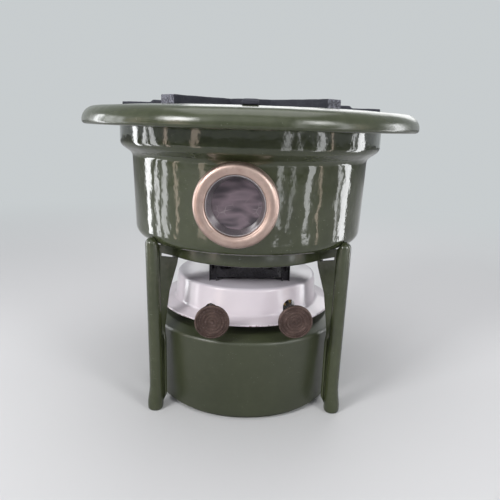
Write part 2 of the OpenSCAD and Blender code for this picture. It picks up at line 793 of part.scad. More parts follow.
edge_start = 6;                   // angle at which the rim's outer rounding starts
top_slope = 4;                    // slope of the rim between its edge and its crest
slope_a = 50;                     // slope between the crest and the spill dish
crest_round = 4;
crest_c = [crest_r, crest_z - crest_round];
crest_end = crest_c + crest_round * [cos(90 + slope_a), sin(90 + slope_a)];
ledge_z = dish_z - mantle_wall;
fillet_c = [crest_end[0] - (crest_end[1] - ledge_z - crest_round * (1 - cos(slope_a)))
            / tan(slope_a) - crest_round * sin(slope_a), ledge_z + crest_round];
edge_c = [rim_r - rim_round, rim_z + lip_round];
fire_round = 2;
rim_line = concat(
    [[neck_r + skin_gap, rim_z]],
    arc([rim_r - lip_round, rim_z + lip_round], lip_round, -90, 0, 6),
    arc(edge_c, rim_round, edge_start, 90 + top_slope, 12),
    arc(crest_c, crest_round, 90 + top_slope, 90 + slope_a, 6),
    arc(fillet_c, crest_round, slope_a - 90, -90, 6),
    [[fillet_c[0] - dish_ledge, ledge_z]]);
dish_line = concat(
    [[fillet_c[0] - skin_gap, dish_z]],
    arc([fire_r + fire_round, dish_z - fire_round], fire_round, 90, 180, 6),
    [[fire_r, dish_z - fire_collar]]);

module rim_plate() {
    color(green) spun(sheet(rim_line, mantle_wall));
}

module spill_dish() {
    color(green) difference() {
        spun(sheet(dish_line, mantle_wall));
        rivet_places() translate([0, 0, dish_z - 3 * mantle_wall])
            cylinder(r = rivet_r / 2 + fit_gap, h = 6 * mantle_wall);
    }
}

chimney_top_r = fire_r - chimney_gap;
chimney_top = dish_z + fit_gap;
chimney_line = [
    [chimney_r, mantle_z + chimney_z],
    [chimney_r, mantle_z + chimney_z + chimney_straight],
    [chimney_top_r, dish_z - fire_collar],
    [chimney_top_r, chimney_top],
    [flange_r, chimney_top]];

module rivet_places() {
    for (i = [0:rivets - 1]) rotate([0, 0, mantle_turn + (i + 0.5) * 360 / rivets])
        translate([(fire_r + fire_round + flange_r) / 2, 0, 0]) children();
}

module inner_chimney() {
    color(black) difference() {
        spun(sheet(chimney_line, chimney_wall));
        at_window() cylinder(r = bezel_bore, h = chimney_top_r + over);
        rivet_places() translate([0, 0, dish_z - over])
            cylinder(r = rivet_r / 2 + fit_gap, h = 4 * over);
    }
}

module chimney_rivets() {
    top = chimney_top + chimney_wall;
    head = rivet_r / 2;
    color(steel) rivet_places() {
        translate([0, 0, top + fit_gap]) spun(concat([[0, 0]], arc([0, 0], rivet_r, 0, 90, 6)));
        translate([0, 0, dish_z - mantle_wall - head]) cylinder(r = head, h = top + fit_gap + eps
            - dish_z + mantle_wall + head);
        translate([0, 0, dish_z - mantle_wall - fit_gap - head]) cylinder(r = 1.6 * head, h = head);
    }
}

// ---- Window ----

bezel_round = 3.5;
bezel_l = 16;                     // length of the bezel's thick part
spigot_l = 3;                     // length by which the spigot passes it
bore_round = 1.4;                 // rounding of the edge of the bezel's bore
seat_depth = 10;                  // depth of the shoulder that the throat and pane lie behind
bezel_crown = 80;                 // angle turned by the bezel's outer rounding
pane_seat = bezel_front - seat_depth;
pane_bore = bezel_bore + bore_round;
spigot_end = bezel_front - bezel_l - spigot_l;
bezel_line = concat(
    [[pane_bore, spigot_end], [spigot_r, spigot_end], [spigot_r, bezel_front - bezel_l],
     [bezel_r, bezel_front - bezel_l]],
    arc([bezel_r - bezel_round, bezel_front - bezel_round], bezel_round, 0, bezel_crown),
    arc([bezel_bore + bore_round, bezel_front - bore_round - skin_gap], bore_round, 90, 180, 6),
    [[bezel_bore, pane_seat], [pane_bore, pane_seat]]);

module window_bezel() {
    n = len(drum_line) - 1;
    color(copper) difference() {
        at_window() spun(bezel_line);
        difference() {
            spun(concat([[0, mantle_z - skin_gap]],
                        [for (i = [0:n]) moved(drum_line, i, -skin_gap)], [[0, neck_end]]));
            at_window() cylinder(r = spigot_r, h = bezel_front);
        }
    }
}

throat_wall = 0.6;
throat_front = bezel_front - 2.4; // front edge of the throat
pane_front = pane_seat - throat_wall - fit_gap;

module window_throat() {
    lip = bezel_bore - fit_gap;
    color(steel) at_window() spun([
        [pane_free_r, pane_seat - throat_wall], [pane_bore - fit_gap, pane_seat - throat_wall],
        [pane_bore - fit_gap, pane_seat - eps], [pane_free_r + throat_wall, pane_seat - eps],
        [lip, throat_front], [lip - throat_wall, throat_front]]);
}

module window_pane() {
    color(mica) at_window() translate([0, 0, pane_front - fit_gap - pane_t])
        cylinder(r = pane_bore - skin_gap, h = pane_t);
}

module pane_clip() {
    color(steel) at_window() translate([0, 0, pane_front - 2 * fit_gap - pane_t - clip_t])
        tube(pane_bore - fit_gap, pane_bore - 2 * clip_t, clip_t);
}

nut_wall = 3.4;                   // radial thickness of the ring nut

module window_nut() {
    nut_r = spigot_r + nut_wall;
    inside = drum_low_r - mantle_wall - skin_gap;
    color(steel) at_window()
        translate([0, 0, sqrt(pow(inside, 2) - pow(nut_r, 2)) - nut_t])
        tube(nut_r, spigot_r + skin_gap, nut_t);
}

// ---- Trivet ----

module arm() {
    outline = [[hub_bore + over, -arm_w / 2], [arm_r - arm_end_l, -arm_w / 2],
               [arm_r, -arm_end_w / 2], [arm_r, arm_end_w / 2],
               [arm_r - arm_end_l, arm_w / 2], [hub_bore + over, arm_w / 2]];
    translate([0, 0, trivet_top - trivet_t]) linear_extrude(trivet_t) polygon(outline);
}

lug_bend = 2;                     // run of the slope where a lug steps down
lug_rib = 1.8;                    // rise of a lug's inner part above its outer part

module lug() {
    low = trivet_top - trivet_t;
    step = trivet_z + lug_t;
    side = [[hub_bore + over, low], [lug_step_r - lug_bend, low], [lug_step_r, trivet_z],
            [lug_r, trivet_z], [lug_r, step], [lug_step_r, step],
            [lug_step_r - lug_bend, step + lug_rib], [hub_bore + over, step + lug_rib]];
    translate([0, lug_w / 2, 0]) rotate([90, 0, 0]) linear_extrude(lug_w) polygon(side);
}

module pan_trivet() {
    color(black) {
        translate([0, 0, trivet_top - trivet_t]) tube(hub_r, hub_bore, trivet_t);
        for (a = [0:90:270]) {
            rotate([0, 0, a + 45]) arm();
            rotate([0, 0, a]) lug();
        }
    }
}

fuel_tank();
tank_base();
filler_neck();
cap_washer();
filler_cap();
burner_gasket();
burner_base();
burner_screws();
spindle_bushes();
tube_bridge();
wick_tube(-1);  // wick_tube_left
wick_tube(1);  // wick_tube_right
wick(-1);  // wick_left
wick(1);  // wick_right
spindle(-1);  // spindle_left
spindle(1);  // spindle_right
feed_wheels(-1);  // feed_wheels_left
feed_wheels(1);  // feed_wheels_right
knob(-1);  // knob_left
knob(1);  // knob_right
burner_cover();
flame_gallery();
flame_cap();
leg_stand();
mantle_drum();
rim_plate();
spill_dish();
inner_chimney();
chimney_rivets();
window_bezel();
window_throat();
window_pane();
pane_clip();
window_nut();
pan_trivet();
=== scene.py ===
import json
import math

import bmesh
import bpy
from mathutils import Matrix, Vector

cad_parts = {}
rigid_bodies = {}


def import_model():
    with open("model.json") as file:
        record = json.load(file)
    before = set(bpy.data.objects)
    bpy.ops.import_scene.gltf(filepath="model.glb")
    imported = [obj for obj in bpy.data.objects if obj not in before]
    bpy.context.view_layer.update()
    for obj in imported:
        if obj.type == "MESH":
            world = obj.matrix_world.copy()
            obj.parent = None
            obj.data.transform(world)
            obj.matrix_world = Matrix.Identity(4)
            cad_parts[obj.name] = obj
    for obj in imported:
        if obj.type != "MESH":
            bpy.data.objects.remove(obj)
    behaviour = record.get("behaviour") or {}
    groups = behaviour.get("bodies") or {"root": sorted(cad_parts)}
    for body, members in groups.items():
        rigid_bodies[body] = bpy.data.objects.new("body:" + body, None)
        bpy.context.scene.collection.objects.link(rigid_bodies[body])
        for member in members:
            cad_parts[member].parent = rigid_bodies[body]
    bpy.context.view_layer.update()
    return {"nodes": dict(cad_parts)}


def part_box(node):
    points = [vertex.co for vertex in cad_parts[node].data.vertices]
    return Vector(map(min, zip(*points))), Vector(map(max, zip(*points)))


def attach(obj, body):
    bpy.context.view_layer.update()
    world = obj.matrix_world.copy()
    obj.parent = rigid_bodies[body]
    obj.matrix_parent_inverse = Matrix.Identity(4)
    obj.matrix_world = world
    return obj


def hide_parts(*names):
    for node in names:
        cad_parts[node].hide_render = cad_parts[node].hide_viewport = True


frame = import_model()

mm = 0.001
tiny = 1e-6                           # shorter than this counts as nothing, in mm
print("stove: solids loaded")


def linked(name, data):               # a new object, put in the scene
    thing = bpy.data.objects.new(name, data)
    bpy.context.collection.objects.link(thing)
    return thing


def discard(piece):                   # an object together with its mesh
    mesh = piece.data
    bpy.data.objects.remove(piece)
    bpy.data.meshes.remove(mesh)


view = {"place": (0.00248, -0.41333, 0.21324), "pitch": 13.783, "roll": 1.794, "lens": 37.205}


def aimCamera():
    pitch, roll = math.radians(view["pitch"]), math.radians(view["roll"])
    ahead = Vector((0, math.cos(pitch), -math.sin(pitch)))
    right = Vector((1, 0, 0))
    above = right.cross(ahead)
    side = right * math.cos(roll) + above * math.sin(roll)
    top = above * math.cos(roll) - right * math.sin(roll)
    turn = Matrix((side, top, -ahead)).transposed().to_4x4()
    data = bpy.data.cameras.new("stoveCamera")
    data.lens, data.sensor_width, data.clip_start = view["lens"], 36, 0.01
    camera = linked("stoveCamera", data)
    camera.matrix_world = Matrix.Translation(view["place"]) @ turn
    bpy.context.scene.camera = camera


class Wire:                           # an output socket that can be used in expressions
    def __init__(self, paint, socket):
        self.paint, self.socket = paint, socket

    def sum(self, operation, a, b=0.0, clamp=False):
        return self.paint.add("ShaderNodeMath", {"operation": operation, "use_clamp": clamp},
                              {0: a, 1: b})

    def __add__(self, other): return self.sum("ADD", self, other)
    def __radd__(self, other): return self.sum("ADD", other, self)
    def __sub__(self, other): return self.sum("SUBTRACT", self, other)
    def __rsub__(self, other): return self.sum("SUBTRACT", other, self)
    def __mul__(self, other): return self.sum("MULTIPLY", self, other)
    def __rmul__(self, other): return self.sum("MULTIPLY", other, self)
    def __truediv__(self, other): return self.sum("DIVIDE", self, other)
    def __rtruediv__(self, other): return self.sum("DIVIDE", other, self)
    def __pow__(self, other): return self.sum("POWER", self, other)
    def __gt__(self, other): return self.sum("GREATER_THAN", self, other)
    def size(self): return self.sum("ABSOLUTE", self)             # without its sign
    def held(self): return self.sum("ADD", self, 0.0, True)       # kept between 0 and 1
    def fade(self, low, high):                                    # 0 at low, 1 at high
        return self.paint.add("ShaderNodeMapRange", {"interpolation_type": "SMOOTHSTEP"},
                              {0: self, 1: low, 2: high, 3: 0.0, 4: 1.0})

    def into(self, end):                                          # feeds the tree's last node
        tree = self.paint.tree
        tree.links.new(self.socket, tree.nodes[end].inputs[0])


class Nodes:                          # adds nodes to a tree and wires them
    def __init__(self, tree):
        self.tree = tree

    def add(self, kind, settings=None, inputs=None, output=0):
        node = self.tree.nodes.new(kind)
        for key, value in (settings or {}).items():
            if key == "stops":
                ramp = node.color_ramp
                while len(ramp.elements) < len(value):
                    ramp.elements.new(0.5)
                for spot, (at, colour) in zip(ramp.elements, value):
                    spot.position, spot.color = at, (*colour, 1)
            else:
                setattr(node, key, value)
        for key, value in (inputs or {}).items():
            if isinstance(value, Wire):
                self.tree.links.new(value.socket, node.inputs[key])
            elif isinstance(value, list):                         # a socket that takes several
                for wire in value:
                    self.tree.links.new(wire.socket, node.inputs[key])
            else:
                node.inputs[key].default_value = value
        return Wire(self, node.outputs[output])

    def axes(self, at):
        split = self.add("ShaderNodeSeparateXYZ", None, {0: at}).socket.node
        return [Wire(self, split.outputs[i]) for i in range(3)]


class Paint(Nodes):                   # a material and the nodes that feed its shader
    def __init__(self, name, **fixed):
        self.material = bpy.data.materials.new(name)
        self.material.use_nodes = True
        super().__init__(self.material.node_tree)
        self.shader = self.tree.nodes["Principled BSDF"]
        for socket, value in fixed.items():
            self.shader.inputs[socket.replace("_", " ")].default_value = value
        self.here = self.add("ShaderNodeTexCoord", output="Object")

    def feed(self, **links):
        for socket, wire in links.items():
            self.tree.links.new(wire.socket, self.shader.inputs[socket.replace("_", " ")])
        return self.material

    def clouds(self, scale, detail=3.0, rough=0.5, at=None, warp=0.0):
        return self.add("ShaderNodeTexNoise", None,
                        {"Vector": at or self.here, "Scale": scale, "Detail": detail,
                         "Roughness": rough, "Distortion": warp})

    def cells(self, scale, feature="F1"):
        return self.add("ShaderNodeTexVoronoi", {"feature": feature},
                        {"Vector": self.here, "Scale": scale})

    def stretch(self, scale):
        return self.add("ShaderNodeMapping", None, {"Vector": self.here, "Scale": scale})

    def mix(self, amount, a, b):          # of two colours, each a tuple or a wire
        a, b = [(*c, 1) if isinstance(c, tuple) else c for c in (a, b)]
        return self.add("ShaderNodeMix", {"data_type": "RGBA", "blend_type": "MIX"},
                        {0: amount, 6: a, 7: b}, 2)

    def ramp(self, value, stops):
        return self.add("ShaderNodeValToRGB", {"stops": stops}, {0: value})

    def relief(self, height, distance, under=None):   # bumps, on top of those of under
        inputs = {"Height": height, "Distance": distance, "Strength": 1.0}
        if under:
            inputs["Normal"] = under
        return self.add("ShaderNodeBump", None, inputs)


socketOf = {float: "NodeSocketFloat", int: "NodeSocketInt",
            bpy.types.Object: "NodeSocketObject", bpy.types.Material: "NodeSocketMaterial"}


class Plan(Nodes):                    # a Geometry Nodes tree with named inputs
    def __init__(self, name, **given):
        super().__init__(bpy.data.node_groups.new(name, "GeometryNodeTree"))
        face = self.tree.interface
        face.new_socket("Geometry", in_out="INPUT", socket_type="NodeSocketGeometry")
        face.new_socket("Geometry", in_out="OUTPUT", socket_type="NodeSocketGeometry")
        self.given, self.ids = given, {}
        for key, value in given.items():
            kind = next(s for t, s in socketOf.items() if isinstance(value, t))
            label = "".join(" " + c if c.isupper() else c for c in key).title()
            self.ids[key] = face.new_socket(label, in_out="INPUT", socket_type=kind).identifier
        entry = self.tree.nodes.new("NodeGroupInput")
        self.start = Wire(self, entry.outputs[0])
        for n, key in enumerate(given):
            setattr(self, key, Wire(self, entry.outputs[n + 1]))

    def ring(self, part, count, radius, start):       # a part copied round the upright axis
        points = self.add("GeometryNodeMeshLine", None, {"Count": count})
        turn = start + self.add("GeometryNodeInputIndex") * (math.tau / count)
        spot = self.add("ShaderNodeCombineXYZ", None, {
            0: radius * self.add("ShaderNodeMath", {"operation": "COSINE"}, {0: turn}),
            1: radius * self.add("ShaderNodeMath", {"operation": "SINE"}, {0: turn})})
        points = self.add("GeometryNodeSetPosition", None, {"Geometry": points, "Position": spot})
        facing = self.add("ShaderNodeCombineXYZ", None, {2: turn})
        return self.add("GeometryNodeInstanceOnPoints", None,
                        {"Points": points, "Instance": part, "Rotation": facing})

    def moved(self, part, x=0.0, y=0.0, z=0.0, size=(1, 1, 1)):
        spot = self.add("ShaderNodeCombineXYZ", None, {0: x, 1: y, 2: z})
        return self.add("GeometryNodeTransform", None,
                        {"Geometry": part, "Translation": spot, "Scale": size})

    def grown(self, name, shape, mesh=None, place=None):          # the plain mesh that it makes
        whole = self.add("GeometryNodeRealizeInstances", None, {"Geometry": shape})
        dressed = self.add("GeometryNodeSetMaterial", None,
                           {"Geometry": whole, "Material": self.coat})
        end = self.tree.nodes.new("NodeGroupOutput")
        self.tree.links.new(dressed.socket, end.inputs[0])
        piece = linked(name, mesh or bpy.data.meshes.new(name))
        grow = piece.modifiers.new("grow", "NODES")
        grow.node_group = self.tree
        for key, value in self.given.items():
            grow[self.ids[key]] = value
        bpy.context.view_layer.update()
        result = settled(piece).copy()
        discard(piece)
        if place is not None:
            result.transform(place)
        return result


greens = {"dark": (0.036, 0.043, 0.019), "plain": (0.046, 0.054, 0.025),
          "light": (0.062, 0.071, 0.037), "speck": (0.26, 0.29, 0.22)}


def greenEnamel(name, gloss, wavy, paintedShade=1.0):    # roughness, depth of its ripples, and a painted shade that scales its colour down
    p = Paint(name, IOR=1.53)
    broad = p.clouds(14, 2)
    fine = p.clouds(160, 4, 0.6)
    dark, plain, light = [tuple(paintedShade * part for part in greens[tone])
                          for tone in ("dark", "plain", "light")]
    tone = p.mix(broad.fade(0.3, 0.7), dark, plain)
    tone = p.mix(fine.fade(0.35, 0.75) * 0.35, tone, light)
    speck = p.cells(520)
    chosen = p.clouds(90, 1).fade(0.56, 0.62)
    specks = (1 - speck.fade(0.07, 0.14)) * chosen
    tone = p.mix(specks * 0.5, tone, greens["speck"])
    normal = p.relief(p.clouds(26, 2, 0.45), 0.0014 * wavy)
    normal = p.relief(p.clouds(95, 2, 0.5), 0.00022 * wavy, normal)
    normal = p.relief(p.clouds(340, 2, 0.5), 0.00006 * wavy, normal)
    normal = p.relief(specks, 0.00002, normal)
    return p.feed(Base_Color=tone, Roughness=gloss + 0.06 * fine.fade(0.3, 0.8) + 0.2 * specks,
                  Normal=normal)


# heights of the chipped low band and the dark edge, and of the top that is painted greyer as shade
coverWearAndShade = {"edge": (0.07262, 0.0730), "chips": (0.0729, 0.0741), "top": (0.0945, 0.0958)}


def whiteEnamel():                    # chipped low down, a thin dark edge, and a top painted greyer as painted shade
    p = Paint("whiteEnamel", IOR=1.53)
    z = p.axes(p.here)[2]
    broad = p.clouds(22, 3)
    tone = p.mix(broad.fade(0.3, 0.75), (0.68, 0.615, 0.665), (0.73, 0.665, 0.705))
    low = 1 - z.fade(*coverWearAndShade["chips"])
    worn = p.clouds(330, 4, 0.65)
    chips = low * worn.fade(0.52, 0.6)
    edge = 1 - z.fade(*coverWearAndShade["edge"])
    tone = p.mix(edge * 0.55, tone, (0.30, 0.25, 0.26))
    tone = p.mix(chips * 0.9, tone, (0.075, 0.034, 0.020))
    # painted shade: the flat top is greyed and blued, standing in for the shade under the drum and
    # its dark reflection
    flat = z.fade(*coverWearAndShade["top"])
    tone = p.mix(flat * 0.45, tone, (0.50, 0.49, 0.56))
    normal = p.relief(p.clouds(30, 2), 0.0006)
    normal = p.relief(p.clouds(260, 2), 0.00003, normal)
    normal = p.relief(1 - chips, 0.00012, normal)
    return p.feed(Base_Color=tone, Roughness=0.12 + 0.10 * broad + 0.5 * chips, Normal=normal)


def blackEnamel():
    p = Paint("blackEnamel", IOR=1.5)
    fine = p.clouds(220, 4, 0.6)
    tone = p.mix(fine.fade(0.35, 0.75), (0.010, 0.009, 0.012), (0.026, 0.024, 0.030))
    soot = p.clouds(60, 3).fade(0.45, 0.7)
    normal = p.relief(p.clouds(70, 2), 0.0005)
    normal = p.relief(fine, 0.00004, normal)
    return p.feed(Base_Color=tone, Roughness=0.09 + 0.22 * soot, Normal=normal)


armEndsCastAndLit = (0.1110, 0.1116)            # where the arm end faces begin; they are painted paler, partly a rough-cast skin and partly painted light where these faces catch the light


def castIron():
    p = Paint("castIron", IOR=1.45)
    grit = p.clouds(900, 5, 0.7)
    broad = p.clouds(50, 3)
    tone = p.mix(broad.fade(0.3, 0.7), (0.019, 0.020, 0.030), (0.031, 0.033, 0.046))
    tone = p.mix(grit.fade(0.56, 0.72) * 0.55, tone, (0.135, 0.135, 0.165))
    x, y, z = p.axes(p.here)
    # painted highlight mixed with cast skin: the arm ends are made paler and speckled
    castAndLitEnds = (x.size() + y.size()).fade(*armEndsCastAndLit)
    tone = p.mix(castAndLitEnds * grit.fade(0.38, 0.62), tone, (0.30, 0.30, 0.36))
    normal = p.relief(grit, 0.00035)
    normal = p.relief(p.clouds(260, 3), 0.0005, normal)
    return p.feed(Base_Color=tone, Roughness=0.62 + 0.25 * grit, Normal=normal)


def copperBezel():
    p = Paint("copperBezel", Metallic=1.0)
    cloud = p.clouds(70, 4, 0.6)
    grain = p.clouds(1400, 3, 0.6)
    tone = p.mix(cloud.fade(0.3, 0.7), (0.38, 0.275, 0.24), (0.48, 0.365, 0.32))
    stain = p.clouds(230, 4, 0.7).fade(0.60, 0.72)
    tone = p.mix(stain * 0.5, tone, (0.20, 0.125, 0.095))
    normal = p.relief(grain, 0.00003)
    return p.feed(Base_Color=tone, Roughness=0.36 + 0.12 * cloud + 0.2 * stain, Normal=normal)


def brushedThroat():
    p = Paint("brushedThroat", Metallic=1.0)
    brush = p.clouds(6, 4, 0.6, p.stretch((300, 60, 300)))
    tone = p.mix(brush.fade(0.3, 0.7), (0.40, 0.385, 0.40), (0.62, 0.60, 0.61))
    return p.feed(Base_Color=tone, Roughness=0.24 + 0.14 * brush,
                  Normal=p.relief(brush, 0.00004))


def smokyMica():
    p = Paint("smokyMica", IOR=1.55)
    # painted reflection: the soft horizontal purple-grey bands in the pane's colour stand for the
    # room reflected in it
    band = p.clouds(46, 2, 0.4, p.stretch((0.8, 1.0, 2.3)), 0.35)
    tone = p.ramp(band, [(0.30, (0.020, 0.016, 0.020)), (0.42, (0.055, 0.042, 0.052)),
                         (0.53, (0.150, 0.112, 0.132)), (0.60, (0.125, 0.095, 0.112)),
                         (0.70, (0.040, 0.032, 0.040))])
    cracks = 1 - p.cells(150, "DISTANCE_TO_EDGE").fade(0.0, 0.035)
    corner = p.clouds(60, 1).fade(0.55, 0.65)
    tone = p.mix(cracks * corner * 0.6, tone, (0.30, 0.26, 0.27))
    flakes = p.clouds(500, 3)
    return p.feed(Base_Color=tone, Roughness=0.10 + 0.14 * flakes,
                  Normal=p.relief(p.clouds(40, 2), 0.0003))


def knobBronze():
    p = Paint("knobBronze", Metallic=0.55, IOR=1.45)
    grain = p.clouds(900, 5, 0.7)
    cloud = p.clouds(120, 3)
    tone = p.mix(cloud.fade(0.3, 0.7), (0.052, 0.032, 0.027), (0.090, 0.058, 0.049))
    tone = p.mix(grain.fade(0.52, 0.7) * 0.7, tone, (0.20, 0.145, 0.135))
    return p.feed(Base_Color=tone, Roughness=0.42 + 0.25 * grain,
                  Normal=p.relief(grain, 0.00018))


def agedBrass():
    p = Paint("agedBrass", Metallic=1.0)
    cloud = p.clouds(150, 4, 0.6)
    tone = p.mix(cloud.fade(0.3, 0.7), (0.30, 0.19, 0.075), (0.52, 0.37, 0.17))
    return p.feed(Base_Color=tone, Roughness=0.28 + 0.25 * cloud,
                  Normal=p.relief(p.clouds(700, 3), 0.00004))


def drawnSteel():
    p = Paint("drawnSteel", Metallic=1.0)
    grain = p.clouds(700, 4, 0.6)
    rust = p.clouds(110, 4, 0.65).fade(0.58, 0.7)
    tone = p.mix(grain.fade(0.3, 0.7), (0.34, 0.33, 0.33), (0.52, 0.51, 0.50))
    tone = p.mix(rust * 0.7, tone, (0.13, 0.065, 0.035))
    return p.feed(Base_Color=tone, Roughness=0.28 + 0.15 * grain + 0.3 * rust,
                  Normal=p.relief(grain, 0.00004))


def pressedCork():
    p = Paint("pressedCork", IOR=1.4)
    cell = p.cells(900)
    tone = p.ramp(cell, [(0.0, (0.42, 0.27, 0.14)), (0.5, (0.30, 0.18, 0.085)),
                         (1.0, (0.11, 0.06, 0.03))])
    return p.feed(Base_Color=tone, Roughness=0.8 + 0.1 * cell,
                  Normal=p.relief(1 - cell, 0.0002))


cotton = {"along": 7000.0, "across": 5200.0, "burnt": (0.126, 0.137)}


def wickCotton():                     # woven, and burnt at its top
    p = Paint("wickCotton", IOR=1.4)
    x, y, z = p.axes(p.here)
    along = p.add("ShaderNodeMath", {"operation": "SINE"}, {0: z * cotton["along"]})
    across = p.add("ShaderNodeMath", {"operation": "SINE"}, {0: (y + x * 0.3) * cotton["across"]})
    weave = (along * across) * 0.5 + 0.5
    burnt = z.fade(*cotton["burnt"]) * p.clouds(300, 3).fade(0.25, 0.6)
    tone = p.mix(weave * 0.6, (0.60, 0.54, 0.42), (0.40, 0.34, 0.25))
    tone = p.mix(burnt.held(), tone, (0.018, 0.014, 0.012))
    return p.feed(Base_Color=tone, Roughness=0.85 + 0.1 * weave,
                  Normal=p.relief(weave, 0.0003))


finish = {
    "green": greenEnamel("greenEnamel", 0.06, 1.0),
    # the tank's copy is painted darker (0.80) as painted shade, for the shade below the brim and a
    # painted dark reflection
    "tankGreen": greenEnamel("tankEnamel", 0.36, 0.35, 0.80),
    "rimGreen": greenEnamel("rimEnamel", 0.20, 0.7),
    "white": whiteEnamel(), "black": blackEnamel(),
    "iron": castIron(), "copper": copperBezel(), "throat": brushedThroat(),
    "mica": smokyMica(), "bronze": knobBronze(), "brass": agedBrass(),
    "steel": drawnSteel(), "cork": pressedCork(), "cotton": wickCotton(),
}
print("stove: finishes made")


def arc(x, z, r, start, end, steps=8):   # points round (x, z), angles in degrees
    return [(x + r * math.cos(math.radians(start + (end - start) * i / steps)),
             z + r * math.sin(math.radians(start + (end - start) * i / steps)))
            for i in range(steps + 1)]


def sheetOf(path, wall):              # outline of a sheet whose outer face is the path
    pts = [Vector(p) for p in path]
    inner = []
    for i, here in enumerate(pts):
        back = here - pts[i - 1] if i else pts[1] - here
        ahead = pts[i + 1] - here if i + 1 < len(pts) else here - pts[i - 1]
        a = Vector((-back.y, back.x)).normalized()
        b = Vector((-ahead.y, ahead.x)).normalized()
        inner.append(here + (a + b) * wall / (1 + a.dot(b)))
    return [tuple(p) for p in pts] + [tuple(p) for p in reversed(inner)]


def softened(outline, radius, steps=3, least=18):   # its corners of least degrees up rounded
    share = 0.42                          # of a side that one corner may take
    pts = [Vector(p) for p in outline]
    done = []
    for i, here in enumerate(pts):
        before, after = pts[i - 1] - here, pts[(i + 1) % len(pts)] - here
        if before.length < tiny or after.length < tiny:
            continue
        turn = math.pi - before.angle(after)
        if math.degrees(turn) < least or here.x < tiny:
            done.append(tuple(here))
            continue
        cut = min(radius * math.tan(turn / 2), share * before.length, share * after.length)
        a, b = here + before.normalized() * cut, here + after.normalized() * cut
        for k in range(steps + 1):
            t = k / steps
            done.append(tuple(a * (1 - t) ** 2 + here * 2 * t * (1 - t) + b * t ** 2))
    return done


# a piece that rides on a body and stands for a solid; edges over angle degrees stay sharp
def toObject(name, mesh, material, body, angle=32, replaces=None):
    piece = linked(name, mesh)
    mesh.materials.clear()
    mesh.materials.append(finish[material])
    mesh.polygons.foreach_set("material_index", [0] * len(mesh.polygons))
    mesh.shade_smooth()
    if angle:
        mesh.set_sharp_from_angle(angle=math.radians(angle))
    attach(piece, body)
    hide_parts(replaces)


def meshFrom(name, bm, place=None):   # a mesh from the bmesh, with its faces turned outwards
    bmesh.ops.recalc_face_normals(bm, faces=bm.faces)
    if place is not None:
        bmesh.ops.transform(bm, matrix=place, verts=bm.verts)
    mesh = bpy.data.meshes.new(name)
    bm.to_mesh(mesh)
    bm.free()
    return mesh


def spun(name, outline, around, place=None):      # mesh turned about Z from a closed outline
    bm = bmesh.new()
    rings = []
    for r, z in outline:
        if r < tiny:                      # the whole ring is one point on the axis
            rings.append([bm.verts.new((0, 0, z * mm))] * around)
        else:
            rings.append([bm.verts.new((r * mm * math.cos(2 * math.pi * k / around),
                                        r * mm * math.sin(2 * math.pi * k / around),
                                        z * mm)) for k in range(around)])
    for i, ring in enumerate(rings):
        other = rings[(i + 1) % len(rings)]
        for k in range(around):
            corners = [ring[k], ring[(k + 1) % around], other[(k + 1) % around], other[k]]
            kept = [v for n, v in enumerate(corners) if v not in corners[:n]]
            if len(kept) > 2 and not (ring[0] is ring[1] and other[0] is other[1]):
                bm.faces.new(kept)
    return meshFrom(name, bm, place)


def boxes(name, blocks, place=None, bevel=0.0):   # blocks are (low, high) in mm
    bm = bmesh.new()
    for low, high in blocks:
        made = bmesh.ops.create_cube(bm, size=1)
        centre = (Vector(low) + Vector(high)) * 0.5 * mm
        span = (Vector(high) - Vector(low)) * mm
        bmesh.ops.scale(bm, vec=span, verts=made["verts"])
        bmesh.ops.translate(bm, vec=centre, verts=made["verts"])
    if bevel:
        bmesh.ops.bevel(bm, geom=list(bm.edges), offset=bevel * mm, segments=2,
                        profile=0.5, affect="EDGES")
    return meshFrom(name, bm, place)


def slab(name, outline, thick):       # an outline in XZ given a thickness along Y
    bm = bmesh.new()
    sides = [[bm.verts.new((x * mm, y * mm, z * mm)) for x, z in outline]
             for y in (-thick / 2, thick / 2)]
    for k in range(len(outline)):
        n = (k + 1) % len(outline)
        bm.faces.new((sides[0][k], sides[0][n], sides[1][n], sides[1][k]))
    for side in sides:
        bm.faces.new(side)
    return meshFrom(name, bm)


def settled(piece):                   # the evaluated mesh of a piece with its modifiers applied
    depsgraph = bpy.context.evaluated_depsgraph_get()
    mesh = bpy.data.meshes.new_from_object(piece.evaluated_get(depsgraph))
    old = piece.data
    piece.modifiers.clear()
    piece.data = mesh
    bpy.data.meshes.remove(old)
    return mesh


def carved(mesh, cutters, name):      # mesh less the cutters, as a new mesh
    piece = linked(name, mesh)
    knives = []
    for i, cutter in enumerate(cutters):
        knife = linked(f"{name}Knife{i}", cutter)
        cut = piece.modifiers.new("cut", "BOOLEAN")
        cut.object, cut.operation, cut.solver = knife, "DIFFERENCE", "EXACT"
        knives.append(knife)
    bpy.context.view_layer.update()
    result = settled(piece).copy()
    for thing in knives + [piece]:
        discard(thing)
    return result


def merged(node, nearest=0.002):      # welded copy of a solid's mesh
    mesh = frame["nodes"][node].data.copy()
    bm = bmesh.new()
    bm.from_mesh(mesh)
    bmesh.ops.remove_doubles(bm, verts=bm.verts, dist=nearest * mm)
    bm.to_mesh(mesh)
    bm.free()
    return mesh


def dressNode(node, material):        # a solid that is shown as it is
    for socket in frame["nodes"][node].material_slots:
        socket.material = finish[material]


tank = {"foot": 72.5, "side": 75.5, "shoulder": 63, "round": 3, "lift": 3, "top": 66,
        "flat": 67.5, "rise": 3, "slope": 70, "mouth": 39.5, "wall": 1.2, "soft": 2.2,
        "around": 224}


